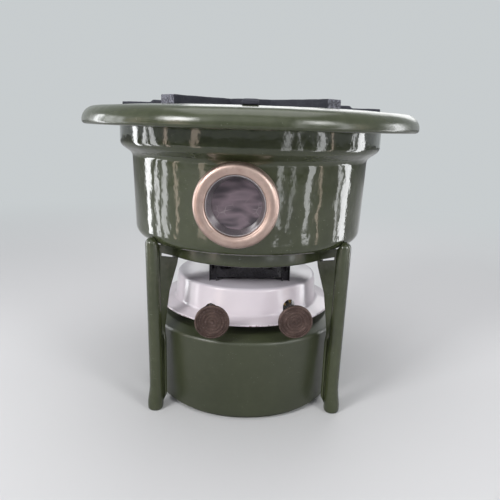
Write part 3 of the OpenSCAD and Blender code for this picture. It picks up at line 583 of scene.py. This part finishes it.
def makeTank():
    t = tank
    line = ([(t["foot"], t["lift"])]
            + arc(t["side"] - t["round"], t["shoulder"] - t["round"], t["round"], 0,
                  t["slope"], 10)
            + [(t["flat"] + t["rise"] / 2, t["top"] - t["rise"] / 4),
               (t["flat"], t["top"]), (t["mouth"], t["top"])])
    outline = softened(sheetOf(line, t["wall"]), t["soft"], 5, 8)
    toObject("tankShell", spun("tankShell", outline, t["around"]), "tankGreen", "tank",
             replaces="fuel_tank")
    dressNode("tank_base", "tankGreen")


filler = {"angle": 42, "out": 60, "low": 67.5, "top": 74.5, "r": 10.5, "bore": 8.5,
          "roof": 73.1, "soft": 0.8, "flutes": 24, "flute": 0.55, "fluteFrom": 0.88,
          "fluteTo": 0.98}


def makeFillerCap():                  # a turned cup whose side is pressed into flutes by a rule
    f = filler
    outline = softened([(0, f["top"]), (f["r"], f["top"]), (f["r"], f["low"]),
                        (f["bore"], f["low"]), (f["bore"], f["roof"]), (0, f["roof"])],
                       f["soft"], 4)
    p = Plan("flutedCap", flutes=float(f["flutes"]), fluteDepth=f["flute"] * mm,
             capRadius=f["r"] * mm, coat=finish["brass"])
    here = p.add("GeometryNodeInputPosition")
    x, y, z = p.axes(here)
    around = p.add("ShaderNodeMath", {"operation": "ARCTAN2"}, {0: y, 1: x})
    wave = p.add("ShaderNodeMath", {"operation": "COSINE"}, {0: around * p.flutes})
    out = p.add("ShaderNodeVectorMath", {"operation": "LENGTH"}, {
        0: p.add("ShaderNodeCombineXYZ", None, {0: x, 1: y})}, "Value")
    onSide = out.fade(p.capRadius * f["fluteFrom"], p.capRadius * f["fluteTo"])
    sink = 1 - onSide * wave.fade(0.1, 0.9) * p.fluteDepth / p.capRadius
    spot = p.add("ShaderNodeCombineXYZ", None, {0: x * sink, 1: y * sink, 2: z})
    shape = p.add("GeometryNodeSetPosition", None, {"Geometry": p.start, "Position": spot})
    place = (Matrix.Rotation(math.radians(f["angle"]), 4, "Z")
             @ Matrix.Translation((f["out"] * mm, 0, 0)))
    mesh = p.grown("fillerCap", shape, spun("fillerCap", outline, 8 * f["flutes"]), place)
    toObject("fillerCap", mesh, "brass", "filler_cap", 40, replaces="filler_cap")


stand = {"ring": 70, "ringWall": 4.5, "ringLow": 116, "ringRound": 1.8, "seat": 127.3,
         "seatWide": 2, "collar": 3.5, "soft": 0.5, "around": 192, "turn": 1.5, "spread": 50,
         "postLow": 86.7, "postTop": 88.8, "postR": 5.1, "postEnd": 133.5, "leanEnd": 129,
         "toe": 88, "toeR": 5.8, "toeHigh": 3, "ankle": 14, "toeFade": 8, "roundFade": 6,
         "web": 4, "webTop": 128, "webFrom": 60, "webTurn": 92, "webJoin": 114, "webSink": 2,
         "rail": 79.6, "railWall": 2.8, "railHalf": 4, "railHigh": 56, "railStep": 0.7,
         "railFade": 6, "railCurve": ((0, 0.55), (0.12, 0.86), (0.3, 0.97), (0.5, 1)),
         "slot": 2.6, "slotRise": 2.8, "slotEnd": 1.2, "gap": 0.8, "tankSide": 75.5}


def between(z, low, high):            # 0 at low, 1 at high
    return min(1, max(0, (z - low) / (high - low)))


def eased(a, b, t):                   # a smooth step from a to b
    return a + (b - a) * t * t * (3 - 2 * t)


def legSection(z, s):                 # inner edge, half width and depth of the rail, post
    ankle, high = s["ankle"], s["railHigh"]
    up = s["postLow"] + (s["postTop"] - s["postLow"]) * (z - ankle) / (s["leanEnd"] - ankle)
    up = eased(s["toe"], up, between(z, s["toeHigh"], ankle + s["toeFade"]))
    rp = eased(s["toeR"], s["postR"], between(z, s["toeHigh"], ankle + s["roundFade"]))
    webHalf = s["web"] / 2
    if z <= high:
        inner = s["rail"]
    elif z <= s["webTurn"]:
        start = s["rail"] + s["railStep"]
        share = (z - s["webFrom"]) / (s["webTurn"] - s["webFrom"])
        inner = min(s["rail"], start + (s["tankSide"] - start) * share)
    else:
        share = between(z, s["webTurn"], s["webJoin"])
        inner = s["tankSide"] + (s["ring"] - s["webSink"] - s["tankSide"]) * share
    wide = eased(s["railHalf"], webHalf + 0.01, between(z, high - 1, high + s["railFade"]))
    return inner, wide, s["railWall"], webHalf, up, rp


def legOutline(z, s, spread, swell):  # spread 0 folds the web into the post, 1 opens it
    inner, wide, deep, web, up, rp = legSection(z, s)
    rp *= swell
    root = up - math.sqrt(max(rp * rp - web * web, 0.01))
    inner = root + (inner - root) * spread - (1 - spread) * 0.3
    deep *= spread
    wide = web + (wide - web) * spread
    valley = max(root, min(up, inner + deep + 0.25 * spread))     # where the post begins
    side = max(web, math.sqrt(max(rp * rp - (up - valley) ** 2, 0)))
    half = [(inner, 0)] + [(inner + part * deep, wide * w) for part, w in s["railCurve"]]
    half += [(inner + 0.85 * deep, max(side, wide * 0.97)),
             (inner + deep + 0.1 * (valley - inner - deep), side),
             ((inner + deep + valley) / 2, side)]
    start = 180 - math.degrees(math.asin(min(1, side / rp)))
    half += arc(up, 0, rp, start, 0, 9)
    return half + [(x, -y) for x, y in reversed(half[1:-1])]


def makeLeg():                        # one leg, on the +X side
    s = stand
    webTop, domeLow = s["webTop"], s["postEnd"] - s["postR"]
    # height, how far the web is open, and the post's radius as a share of its own
    rows = [(0.0, 0.0, 0.86), (0.9, 0.0, 0.97), (2.6, 0.0, 1.0), (4.8, 0.0, 1.0),
            (5.2, 0.06, 1.0), (7.5, 0.45, 1.0), (9.4, 0.8, 1.0), (10.2, 0.96, 1.0)]
    rows += [(z, 1.0, 1.0) for z in (11, 14, 18, 24, 32, 40, 48, 54, 56, 58, 60, 62, 66, 74,
                                     84, 92, 98, 106, 112, 116, 120, webTop - 0.6)]
    rows += [(webTop - 0.2, 0.9, 1.0), (webTop, 0.5, 1.0), (webTop + 0.2, 0.0, 1.0)]
    rows += [(domeLow, 0.0, 1.0)]
    rows += [(domeLow + s["postR"] * math.sin(math.radians(a)), 0.0,
              max(0.02, math.cos(math.radians(a)))) for a in (15, 30, 45, 60, 72, 82, 90)]
    bm = bmesh.new()
    rings = [[bm.verts.new((x * mm, y * mm, z * mm)) for x, y in legOutline(z, s, part, swell)]
             for z, part, swell in rows]
    for a, b in zip(rings, rings[1:]):
        for k in range(len(a)):
            n = (k + 1) % len(a)
            bm.faces.new((a[k], a[n], b[n], b[k]))
    bm.faces.new(list(reversed(rings[0])))
    bm.faces.new(rings[-1])
    m = mantle
    low = (m["low"] - m["round"], m["seat"] + m["round"])
    room = ([(0, low[1] - m["round"] - s["gap"])]
            + arc(*low, m["round"] + s["gap"], -90, 0, 16)
            + [(m["top"] + s["gap"], m["neckEnd"]), (0, m["neckEnd"])])
    near, far = s["ring"] + 1, s["postTop"] - s["postR"] - s["slotEnd"]
    low, rise, high = s["ringLow"], s["slotRise"], s["slot"]
    slot = slab("legSlot", [(near, low), (far, low + rise), (far, low + rise + high),
                            (near, low + high / 2)], 2 * s["web"])
    return carved(meshFrom("leg", bm), [spun("drumRoom", room, m["around"]), slot], "leg")


def makeStand():                      # the ring, with the leg placed three times by a rule
    s = stand
    ring = ([(s["ring"] - s["ringWall"], s["ringLow"])]
            + arc(s["ring"] - s["ringRound"], s["ringLow"] + s["ringRound"], s["ringRound"],
                  -90, 0, 8)
            + [(s["ring"], s["seat"]), (s["ring"] - s["seatWide"], s["seat"]),
               (s["ring"] - s["seatWide"], s["seat"] + s["collar"]),
               (s["ring"] - s["ringWall"], s["seat"] + s["collar"])])
    leg = linked("leg", makeLeg())
    p = Plan("threeLegs", leg=leg, standTurn=math.radians(s["turn"]),
             frontSpread=math.radians(s["spread"]), coat=finish["rimGreen"])
    points = p.add("GeometryNodeMeshLine", None, {"Count": 3, "Offset": (0, 0, 0)})
    index = p.add("GeometryNodeInputIndex")
    rear = index > 1.5
    front = (index * 2 - 1) * p.frontSpread - math.pi / 2
    turn = p.standTurn + front * (1 - rear) + rear * (math.pi / 2)
    part = p.add("GeometryNodeObjectInfo", None, {"Object": p.leg}, "Geometry")
    facing = p.add("ShaderNodeCombineXYZ", None, {2: turn})
    legs = p.add("GeometryNodeInstanceOnPoints", None,
                 {"Points": points, "Instance": part, "Rotation": facing})
    shape = p.add("GeometryNodeJoinGeometry", None, {0: [p.start, legs]})
    mesh = p.grown("legStand", shape, spun("standRing", softened(ring, s["soft"]), s["around"]))
    discard(leg)
    toObject("legStand", mesh, "rimGreen", "stand", 42, replaces="leg_stand")


mantle = {"turn": -4.5, "seat": 127.5, "low": 88.4, "top": 90.1, "round": 8, "hole": 68.4,
          "neckZ": 187, "neckR": 99, "neckEnd": 220.9, "wall": 1.4, "shoulder": 12,
          "bendLow": 5, "bendHigh": 6, "bendTurn": 55, "windowZ": 162.9, "windowHole": 24.2,
          "windowFrom": 60, "windowTo": 110, "windowAround": 96, "soft": 0.7, "around": 288}


def atWindow():                       # turns a shape's Z outwards along the window's axis
    return (Matrix.Rotation(math.radians(mantle["turn"]), 4, "Z")
            @ Matrix.Translation((0, 0, mantle["windowZ"] * mm))
            @ Matrix.Rotation(math.radians(90), 4, "X"))


def makeDrum():
    m = mantle
    low = (m["low"] - m["round"], m["seat"] + m["round"])
    line = ([(m["hole"], m["seat"])] + arc(*low, m["round"], -90, 0, 12)
            + arc(m["top"] + m["bendLow"], m["neckZ"], m["bendLow"], 180,
                  180 - m["bendTurn"], 8)
            + arc(m["neckR"] - m["bendHigh"], m["neckZ"] + m["shoulder"], m["bendHigh"],
                  -m["bendTurn"], 0, 8)
            + [(m["neckR"], m["neckEnd"])])
    outline = softened(sheetOf(line, m["wall"]), m["soft"], 3, 40)
    back, front = m["windowFrom"], m["windowTo"]
    hole = spun("hole", [(0, back), (m["windowHole"], back), (m["windowHole"], front),
                         (0, front)], m["windowAround"], atWindow())
    mesh = carved(spun("drumShell", outline, m["around"]), [hole], "drumShell")
    toObject("drumShell", mesh, "green", "mantle", replaces="mantle_drum")


rim = {"edge": 125.3, "low": 209.6, "lip": 2.6, "round": 10, "roundFrom": 6, "roundTo": 94,
       "crest": 97, "crestZ": 223.6, "crestRound": 4, "slope": 50, "dish": 212.2,
       "dishGap": 0.2, "fire": 64, "fireRound": 2, "ledgeWide": 4, "collar": 7, "wall": 1.4,
       "soft": 0.6, "start": 99.2}


def makeRim():
    r = rim
    slope = math.radians(r["slope"])
    crest = (r["crest"], r["crestZ"] - r["crestRound"])
    end = (crest[0] + r["crestRound"] * math.cos(math.pi / 2 + slope),
           crest[1] + r["crestRound"] * math.sin(math.pi / 2 + slope))
    low = r["dish"] - r["wall"]       # the ledge that carries the dish
    drop = end[1] - low - r["crestRound"] * (1 - math.cos(slope))
    fillet = (end[0] - drop / math.tan(slope) - r["crestRound"] * math.sin(slope),
              low + r["crestRound"])
    line = ([(r["start"], r["low"])]
            + arc(r["edge"] - r["lip"], r["low"] + r["lip"], r["lip"], -90, 0, 8)
            + arc(r["edge"] - r["round"], r["low"] + r["lip"], r["round"], r["roundFrom"],
                  r["roundTo"], 16)
            + arc(*crest, r["crestRound"], r["roundTo"], 90 + r["slope"], 6)
            + arc(*fillet, r["crestRound"], r["slope"] - 90, -90, 6)
            + [(fillet[0] - r["ledgeWide"], low)])
    dish = ([(fillet[0] - r["dishGap"], r["dish"])]
            + arc(r["fire"] + r["fireRound"], r["dish"] - r["fireRound"], r["fireRound"],
                  90, 180, 6)
            + [(r["fire"], r["dish"] - r["collar"])])
    for name, path, old in (("rimPlate", line, "rim_plate"), ("spillDish", dish, "spill_dish")):
        outline = softened(sheetOf(path, r["wall"]), r["soft"], 3, 40)
        toObject(name, spun(name, outline, mantle["around"]), "rimGreen", "mantle",
                 replaces=old)


bezel = {"front": 98, "outer": 27.25, "bore": 19.35, "spigot": 24, "spigotLong": 19,
         "flange": 16, "round": 3.5, "dome": 6, "domeIn": 0.4, "lip": 1.6, "lipLow": 0.45,
         "tilt": 114, "paneBore": 20.75, "seat": 88, "drumGap": 0.2, "soft": 0.5,
         "around": 160}
throat = {"free": 16.2, "wall": 0.6, "fit": 0.05, "low": 2.4, "foot": 1.2, "footWide": 1.0,
          "roll": 0.5, "rollDeep": 1.8, "soft": 0.25, "around": 128}


def makeWindow():
    b, m, t = bezel, mantle, throat
    front = b["front"]
    line = ([(b["paneBore"], front - b["spigotLong"]), (b["spigot"], front - b["spigotLong"]),
             (b["spigot"], front - b["flange"]), (b["outer"], front - b["flange"])]
            + arc(b["outer"] - b["round"], front - b["round"], b["round"], 0, 88, 10)
            + arc(b["outer"] - b["round"] - b["domeIn"], front - b["dome"], b["dome"], 92,
                  b["tilt"], 6)
            + arc(b["bore"] + b["lip"], front - b["lip"] - b["lipLow"], b["lip"], b["tilt"],
                  180, 8)
            + [(b["bore"], b["seat"]), (b["paneBore"], b["seat"])])
    mesh = spun("windowBezel", softened(line, b["soft"]), b["around"], atWindow())
    away = atWindow().inverted()
    back = atWindow()
    for v in mesh.vertices:               # the flange's back follows the drum
        spot = away @ v.co
        r = math.hypot(spot.x, spot.y)
        if r > (b["spigot"] + 0.1) * mm and spot.z < (front - b["flange"] / 2) * mm:
            share = between(v.co.z / mm, m["seat"] + m["round"], m["neckZ"])
            wall = (m["low"] + (m["top"] - m["low"]) * share + b["drumGap"]) * mm
            spot.z = math.sqrt(wall ** 2 - spot.x ** 2)
            v.co = back @ spot
    toObject("windowBezel", mesh, "copper", "mantle", replaces="window_bezel")
    w, free, seat, low = t["wall"], t["free"], b["seat"], front - t["low"]
    lip, edge = b["bore"] - t["fit"], b["paneBore"] - t["fit"]
    cone = [(free, seat - w), (edge, seat - w), (edge, seat), (free + w, seat),
            (free + w + t["footWide"], seat + t["foot"]), (lip - t["roll"], low - t["rollDeep"]),
            (lip, low), (lip - w, low), (lip - w - t["roll"], low - 2.0),
            (free + 0.7, seat + 1.0)]
    mesh = spun("windowThroat", softened(cone, t["soft"], 2), t["around"], atWindow())
    toObject("windowThroat", mesh, "throat", "mantle", replaces="window_throat")
    for node in ("pane_clip", "window_nut"):
        dressNode(node, "steel")
    dressNode("window_pane", "mica")


cover = {"turn": 4.8, "rim": 69.5, "low": 72.4, "band": 1.6, "foot": 57.7, "footZ": 75.4,
         "footRound": 2.4, "top": 96, "topR": 56, "topRound": 2.5, "wall": 1.0,
         "notch": 4.75, "notchTops": {-1: 83, 1: 86}, "notchFrom": 38, "spindle": 28.8,
         "tubeX": 23.1, "tubeHalfX": 2.5, "tubeHalfY": 28, "slot": 0.8,
         "filler": 42, "fillerFrom": 48.5, "fillerHalf": 13.5, "fillerTop": 84,
         "cutLow": 60, "cutOut": 90, "slotLow": 90, "slotHigh": 99, "notchAround": 48,
         "soft": 0.9, "around": 224}


def inBurner():                       # the burner stands a little turned
    return Matrix.Rotation(math.radians(cover["turn"]), 4, "Z")


def makeCover():
    c = cover
    slope = math.degrees(math.atan2(c["footZ"] - c["low"] - c["band"], c["rim"] - c["foot"]))
    line = ([(c["rim"], c["low"]), (c["rim"] - 0.01, c["low"] + c["band"])]
            + arc(c["foot"] + c["footRound"], c["footZ"] + c["footRound"], c["footRound"],
                  270 - slope, 185, 8)
            + arc(c["topR"] - c["topRound"], c["top"] - c["topRound"], c["topRound"], 5, 90, 8)
            + [(0, c["top"])])
    outline = softened(sheetOf(line, c["wall"]), c["soft"], 3, 24)
    near, low, out = c["notchFrom"], c["cutLow"], c["cutOut"]
    cutters = []
    for side in (-1, 1):
        tunnel = (inBurner() @ Matrix.Translation((side * c["spindle"] * mm, 0, 0))
                  @ Matrix.Rotation(math.radians(90), 4, "X"))
        knife = [(0, near), (c["notch"], near), (c["notch"], out), (0, out)]
        top = c["notchTops"][side] - c["notch"]
        lift = Matrix.Translation((0, 0, top * mm))
        cutters.append(spun("notch", knife, c["notchAround"], lift @ tunnel))
        middle = side * c["spindle"]
        cutters.append(boxes("notchSlot", [((middle - c["notch"], -out, low),
                                            (middle + c["notch"], -near, top))], inBurner()))
        middle = side * c["tubeX"]
        halfX, halfY = c["tubeHalfX"] + c["slot"], c["tubeHalfY"] + c["slot"]
        cutters.append(boxes("tubeSlot", [((middle - halfX, -halfY, c["slotLow"]),
                                           (middle + halfX, halfY, c["slotHigh"]))],
                             inBurner()))
    cutters.append(boxes("fillerNotch", [((c["fillerFrom"], -c["fillerHalf"], low),
                                          (out, c["fillerHalf"], c["fillerTop"]))],
                         Matrix.Rotation(math.radians(c["filler"]), 4, "Z")))
    mesh = carved(spun("coverShell", outline, c["around"]), cutters, "coverShell")
    toObject("coverShell", mesh, "white", "cover", replaces="burner_cover")


gallery = {"x": 30.8, "y": 35.2, "post": 6, "deep": 3, "wall": 0.8, "fold": 0.7, "top": 142,
           "low": 96, "gap": 2.4, "lap": 0.2, "soft": 0.22}


def makeGallery():
    g = gallery
    blocks = []
    for sx in (-1, 1):
        for sy in (-1, 1):
            x0, x1 = sorted((sx * g["x"], sx * (g["x"] - g["post"])))
            y0, y1 = sorted((sy * g["y"], sy * (g["y"] - g["deep"])))
            inner = (y1 - g["fold"], y1) if sy < 0 else (y0, y0 + g["fold"])
            blocks.append(((x0, inner[0], g["low"]), (x1, inner[1], g["top"])))
            blocks.append(((x0, y0, g["low"]), (x0 + g["fold"], y1, g["top"])))
            blocks.append(((x1 - g["fold"], y0, g["low"]), (x1, y1, g["top"])))
    low = g["low"] + g["gap"]
    for sy in (-1, 1):
        mid = sy * (g["y"] - g["deep"] / 2)
        blocks.append(((-g["x"] + g["post"] - g["lap"], mid - g["wall"] / 2, low),
                       (g["x"] - g["post"] + g["lap"], mid + g["wall"] / 2, g["top"])))
    for sx in (-1, 1):
        mid = sx * (g["x"] - g["post"] / 4)
        blocks.append(((mid - g["wall"] / 2, -g["y"] + g["deep"] / 2, low),
                       (mid + g["wall"] / 2, g["y"] - g["deep"] / 2, g["top"])))
    toObject("flameGallery", boxes("flameGallery", blocks, inBurner(), g["soft"]), "black",
             "cover", 40, replaces="flame_gallery")
    for node in ("flame_cap", "burner_base", "tube_bridge", "wick_tube_left",
                 "wick_tube_right", "inner_chimney"):
        dressNode(node, "black")


knob = {"x": 28.8, "z": 80.7, "face": 80.4, "r": 12, "thick": 2.6, "hub": 4, "hubLong": 5,
        "shaft": 1.52, "edge": 0.6, "bead": 1.3, "beadSlope": 0.3, "rings": 3,
        "ringHigh": 0.5, "ringFoot": 0.22, "ringTop": 0.1, "dot": 1.4, "dotTop": 0.7,
        "soft": 0.22, "around": 96}


def makeKnobs():
    k = knob
    web = k["thick"] / 2
    step = (k["r"] - k["bead"] - k["dot"]) / (k["rings"] + 1)
    line = [(0, 0), (k["shaft"], 0), (k["shaft"], -k["hubLong"]), (k["hub"], -k["hubLong"]),
            (k["hub"], 0), (k["r"] - k["edge"], 0), (k["r"], k["edge"]),
            (k["r"], k["thick"] - k["edge"]), (k["r"] - k["edge"], k["thick"]),
            (k["r"] - k["bead"], k["thick"]), (k["r"] - k["bead"] - k["beadSlope"], web)]
    foot, top = k["ringFoot"], k["ringTop"]
    for n in range(k["rings"], 0, -1):
        line += [(k["dot"] + (n + off) * step, web + high * k["ringHigh"])
                 for off, high in ((foot, 0), (top, 1), (-top, 1), (-foot, 0))]
    line += [(k["dot"], web), (k["dot"] * k["dotTop"], k["thick"]), (0, k["thick"])]
    outline = softened(line, k["soft"], 2)
    for side, name in ((-1, "left"), (1, "right")):
        place = (inBurner() @ Matrix.Translation((side * k["x"] * mm, 0, k["z"] * mm))
                 @ Matrix.Rotation(math.radians(90), 4, "X")
                 @ Matrix.Translation((0, 0, (k["face"] - web) * mm)))
        toObject(f"{name}Knob", spun(f"{name}Knob", outline, k["around"], place), "bronze",
                 f"{name}_spindle", replaces=f"knob_{name}")
        dressNode(f"spindle_{name}", "steel")
        dressNode(f"feed_wheels_{name}", "steel")
        dressNode(f"wick_{name}", "cotton")


screw = {"count": 4, "ring": 44.0, "seat": 68.5, "r": 3.0, "high": 1.8, "slot": 0.8}
rivet = {"count": 6, "ring": 68.5, "seat": 213.1, "r": 2.2, "high": 2.05, "tail": 209.7,
         "tailR": 1.76, "tailLong": 2}


def makeFasteners():                  # screws of the burner plate and rivets of the chimney
    s, r = screw, rivet
    p = Plan("burnerScrews", screws=s["count"], ringRadius=s["ring"] * mm,
             headRadius=s["r"] * mm, headHeight=s["high"] * mm, slotWidth=s["slot"] * mm,
             coat=finish["steel"])
    head = p.add("GeometryNodeMeshCylinder", None, {"Vertices": 32, "Radius": p.headRadius,
                                                    "Depth": p.headHeight})
    slotSize = p.add("ShaderNodeCombineXYZ", None, {0: p.headRadius * 3, 1: p.slotWidth,
                                                    2: p.headHeight})
    slot = p.add("GeometryNodeMeshCube", None, {"Size": slotSize})
    head = p.add("GeometryNodeMeshBoolean", {"operation": "DIFFERENCE"},
                 {"Mesh 1": head, "Mesh 2": [p.moved(slot, z=p.headHeight * 0.6)]})
    heads = p.ring(p.moved(head, z=s["seat"] * mm + p.headHeight * 0.5), p.screws,
                   p.ringRadius, math.radians(cover["turn"]))
    toObject("burnerScrews", p.grown("burnerScrews", heads), "steel", "tank", 30,
             replaces="burner_screws")
    p = Plan("chimneyRivets", rivets=r["count"], ringRadius=r["ring"] * mm, headRadius=r["r"] * mm,
             headHeight=r["high"] * mm, tailRadius=r["tailR"] * mm, coat=finish["steel"])
    dome = p.add("GeometryNodeMeshUVSphere", None, {"Segments": 24, "Rings": 12,
                                                    "Radius": p.headRadius})
    flat = p.add("ShaderNodeCombineXYZ", None, {0: 1.0, 1: 1.0, 2: p.headHeight / p.headRadius})
    tail = p.add("GeometryNodeMeshCylinder", None, {"Vertices": 20, "Radius": p.tailRadius,
                                                    "Depth": r["tailLong"] * mm})
    both = p.add("GeometryNodeJoinGeometry", None, {
        0: [p.moved(dome, z=r["seat"] * mm, size=flat),
            p.moved(tail, z=(r["tail"] + r["tailLong"] / 2) * mm)]})
    placed = p.ring(both, p.rivets, p.ringRadius,
                    math.radians(mantle["turn"] + 180 / r["count"]))
    toObject("chimneyRivets", p.grown("chimneyRivets", placed), "steel", "mantle", 40,
             replaces="chimney_rivets")


trivet = {"voxel": 0.75, "smooth": 0.5, "grit": 0.10, "gritScale": 900, "lump": 0.30,
          "lumpScale": 120}


def makeTrivet():                     # the casting, its skin roughened by a rule
    t = trivet
    low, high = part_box("pan_trivet")
    piece = linked("panTrivet", merged("pan_trivet"))
    remesh = piece.modifiers.new("cast", "REMESH")
    remesh.mode, remesh.voxel_size = "VOXEL", t["voxel"] * mm
    bpy.context.view_layer.update()
    mesh = settled(piece).copy()
    discard(piece)
    bm = bmesh.new()
    bm.from_mesh(mesh)
    bmesh.ops.smooth_vert(bm, verts=bm.verts, factor=t["smooth"], use_axis_x=True,
                          use_axis_y=True, use_axis_z=True)
    bm.to_mesh(mesh)
    bm.free()
    p = Plan("castSkin", gritHeight=t["grit"] * mm, gritScale=float(t["gritScale"]),
             lumpHeight=t["lump"] * mm, lumpScale=float(t["lumpScale"]), coat=finish["iron"])
    grit = p.add("ShaderNodeTexNoise", None, {"Scale": p.gritScale, "Detail": 1.0})
    lump = p.add("ShaderNodeTexNoise", None, {"Scale": p.lumpScale, "Detail": 1.0})
    push = ((grit - 0.5) * p.gritHeight + (lump - 0.5) * p.lumpHeight) * 2
    along = p.add("ShaderNodeVectorMath", {"operation": "SCALE"},
                  {0: p.add("GeometryNodeInputNormal"), "Scale": push})
    shape = p.add("GeometryNodeSetPosition", None, {"Geometry": p.start, "Offset": along})
    mesh = p.grown("panTrivet", shape, mesh)
    for v in mesh.vertices:               # kept within the casting's own box
        v.co = [min(high[i], max(low[i], v.co[i])) for i in range(3)]
    toObject("panTrivet", mesh, "iron", "trivet", 0, replaces="pan_trivet")


smallParts = {"filler_neck": "brass", "cap_washer": "cork", "burner_gasket": "cork",
              "spindle_bushes": "brass"}


def dressSmallParts():
    for node, material in smallParts.items():
        dressNode(node, material)


stage = {"half": 4, "floor": (0.62, 0.62, 0.63, 1), "near": 0.25, "far": 1.1,
         "back": (0.93, 0.98, 1, 1), "backGlow": 0.62,
         "light": (0.93, 0.95, 1, 1), "lightGlow": 0.22}


def setFloor():                       # plain near the stove, far off one with the background
    s = stage
    half = s["half"]
    floor = bpy.data.meshes.new("floor")
    floor.from_pydata([(-half, -half, 0), (half, -half, 0), (half, half, 0), (-half, half, 0)],
                      [], [(0, 1, 2, 3)])
    ground = linked("floor", floor)
    p = Paint("paleFloor", Roughness=0.9, IOR=1.3, Base_Color=s["floor"])
    x, y, z = p.axes(p.here)
    far = ((x * x + y * y) ** 0.5).fade(s["near"], s["far"])
    back = p.add("ShaderNodeEmission", None, {"Color": s["back"], "Strength": s["backGlow"]})
    p.add("ShaderNodeMixShader", None,
          {0: far * p.add("ShaderNodeLightPath", output="Is Camera Ray"),
           1: Wire(p, p.shader.outputs[0]), 2: back}).into("Material Output")
    floor.materials.append(p.material)


def setBackground():                  # seen behind the stove and in its gloss, but lights little
    s = stage
    world = bpy.data.worlds.new("studio")
    bpy.context.scene.world = world
    world.use_nodes = True
    w = Nodes(world.node_tree)
    either = w.add("ShaderNodeLightPath", output="Is Camera Ray")
    for ray in ("Is Glossy Ray", "Is Transmission Ray"):
        either = w.add("ShaderNodeMath", {"operation": "MAXIMUM"},
                       {0: either, 1: w.add("ShaderNodeLightPath", output=ray)})
    light = w.add("ShaderNodeBackground", None, {"Color": s["light"], "Strength": s["lightGlow"]})
    seen = w.add("ShaderNodeBackground", None, {"Color": s["back"], "Strength": s["backGlow"]})
    w.add("ShaderNodeMixShader", None, {0: either, 1: light, 2: seen}).into("World Output")


softLamps = {
    "leftSoft": {"at": (-0.80, -0.80, 0.68), "size": (0.35, 0.35), "power": 9},
    "rightSoft": {"at": (0.78, -0.82, 0.68), "size": (0.35, 0.35), "power": 5},
    "frontSoft": {"at": (-0.2, -1.3, 1.1), "size": (1.3, 0.9), "power": 3},
    "topSoft": {"at": (0, -0.1, 1.3), "size": (1.2, 1.0), "power": 8},
    "backSoft": {"at": (0.3, 1.2, 0.8), "size": (1.2, 0.8), "power": 6},
}
lampTarget = (0, 0, 0.13)

# upright strips of light round the stove, by their angle from its front
pane = {"away": 0.5, "high": 0.36, "plain": (0.97, 0.98, 1), "warm": (1, 0.80, 0.66)}
panes = [
    {"angle": -104, "wide": 0.07, "glow": 9, "tint": "plain"},
    {"angle": -90, "wide": 0.04, "glow": 7, "tint": "plain"},
    {"angle": -80, "wide": 0.05, "glow": 6, "tint": "plain"},
    {"angle": -66, "wide": 0.03, "glow": 4, "tint": "warm"},
    {"angle": -40, "wide": 0.06, "glow": 3, "tint": "warm"},
    {"angle": 27, "wide": 0.03, "glow": 4, "tint": "plain"},
    {"angle": 36, "wide": 0.02, "glow": 3, "tint": "plain"},
    {"angle": 54, "wide": 0.05, "glow": 6, "tint": "plain"},
    {"angle": 64, "wide": 0.02, "glow": 4, "tint": "warm"},
    {"angle": 88, "wide": 0.03, "glow": 5, "tint": "plain"},
    {"angle": 98, "wide": 0.08, "glow": 8, "tint": "plain"},
]


def hangLamp(name, place, target, size, power, tint=(1, 1, 1), lights=True):
    data = bpy.data.lights.new(name, "AREA")
    data.shape, data.size, data.size_y = "RECTANGLE", size[0], size[1]
    data.energy, data.color = power, tint
    lamp = linked(name, data)
    lamp.location = place
    lamp.rotation_euler = (Vector(target) - Vector(place)).to_track_quat("-Z", "Y").to_euler()
    lamp.visible_camera = False
    lamp.visible_diffuse = lights         # a strip that only shows in the gloss gives no light


def setLamps():
    for name, lamp in softLamps.items():
        hangLamp(name, lamp["at"], lampTarget, lamp["size"], lamp["power"])
    away, high = pane["away"], pane["high"]
    for n, strip in enumerate(panes):
        angle = math.radians(strip["angle"])
        place = (away * math.sin(angle), -away * math.cos(angle), high / 2)
        hangLamp(f"pane{n}", place, (0, 0, high / 2), (strip["wide"], high),
                 strip["glow"] * math.pi * strip["wide"] * high, pane[strip["tint"]], False)


aimCamera()
for make in (makeTank, makeFillerCap, makeStand, makeDrum, makeRim, makeWindow, makeCover,
             makeGallery, makeKnobs, makeFasteners, makeTrivet, dressSmallParts):
    make()
    print("stove:", make.__name__, "done")
setFloor()
setBackground()
setLamps()
bpy.context.scene.view_settings.view_transform = "Standard"
print("stove: floor, background and lamps set")
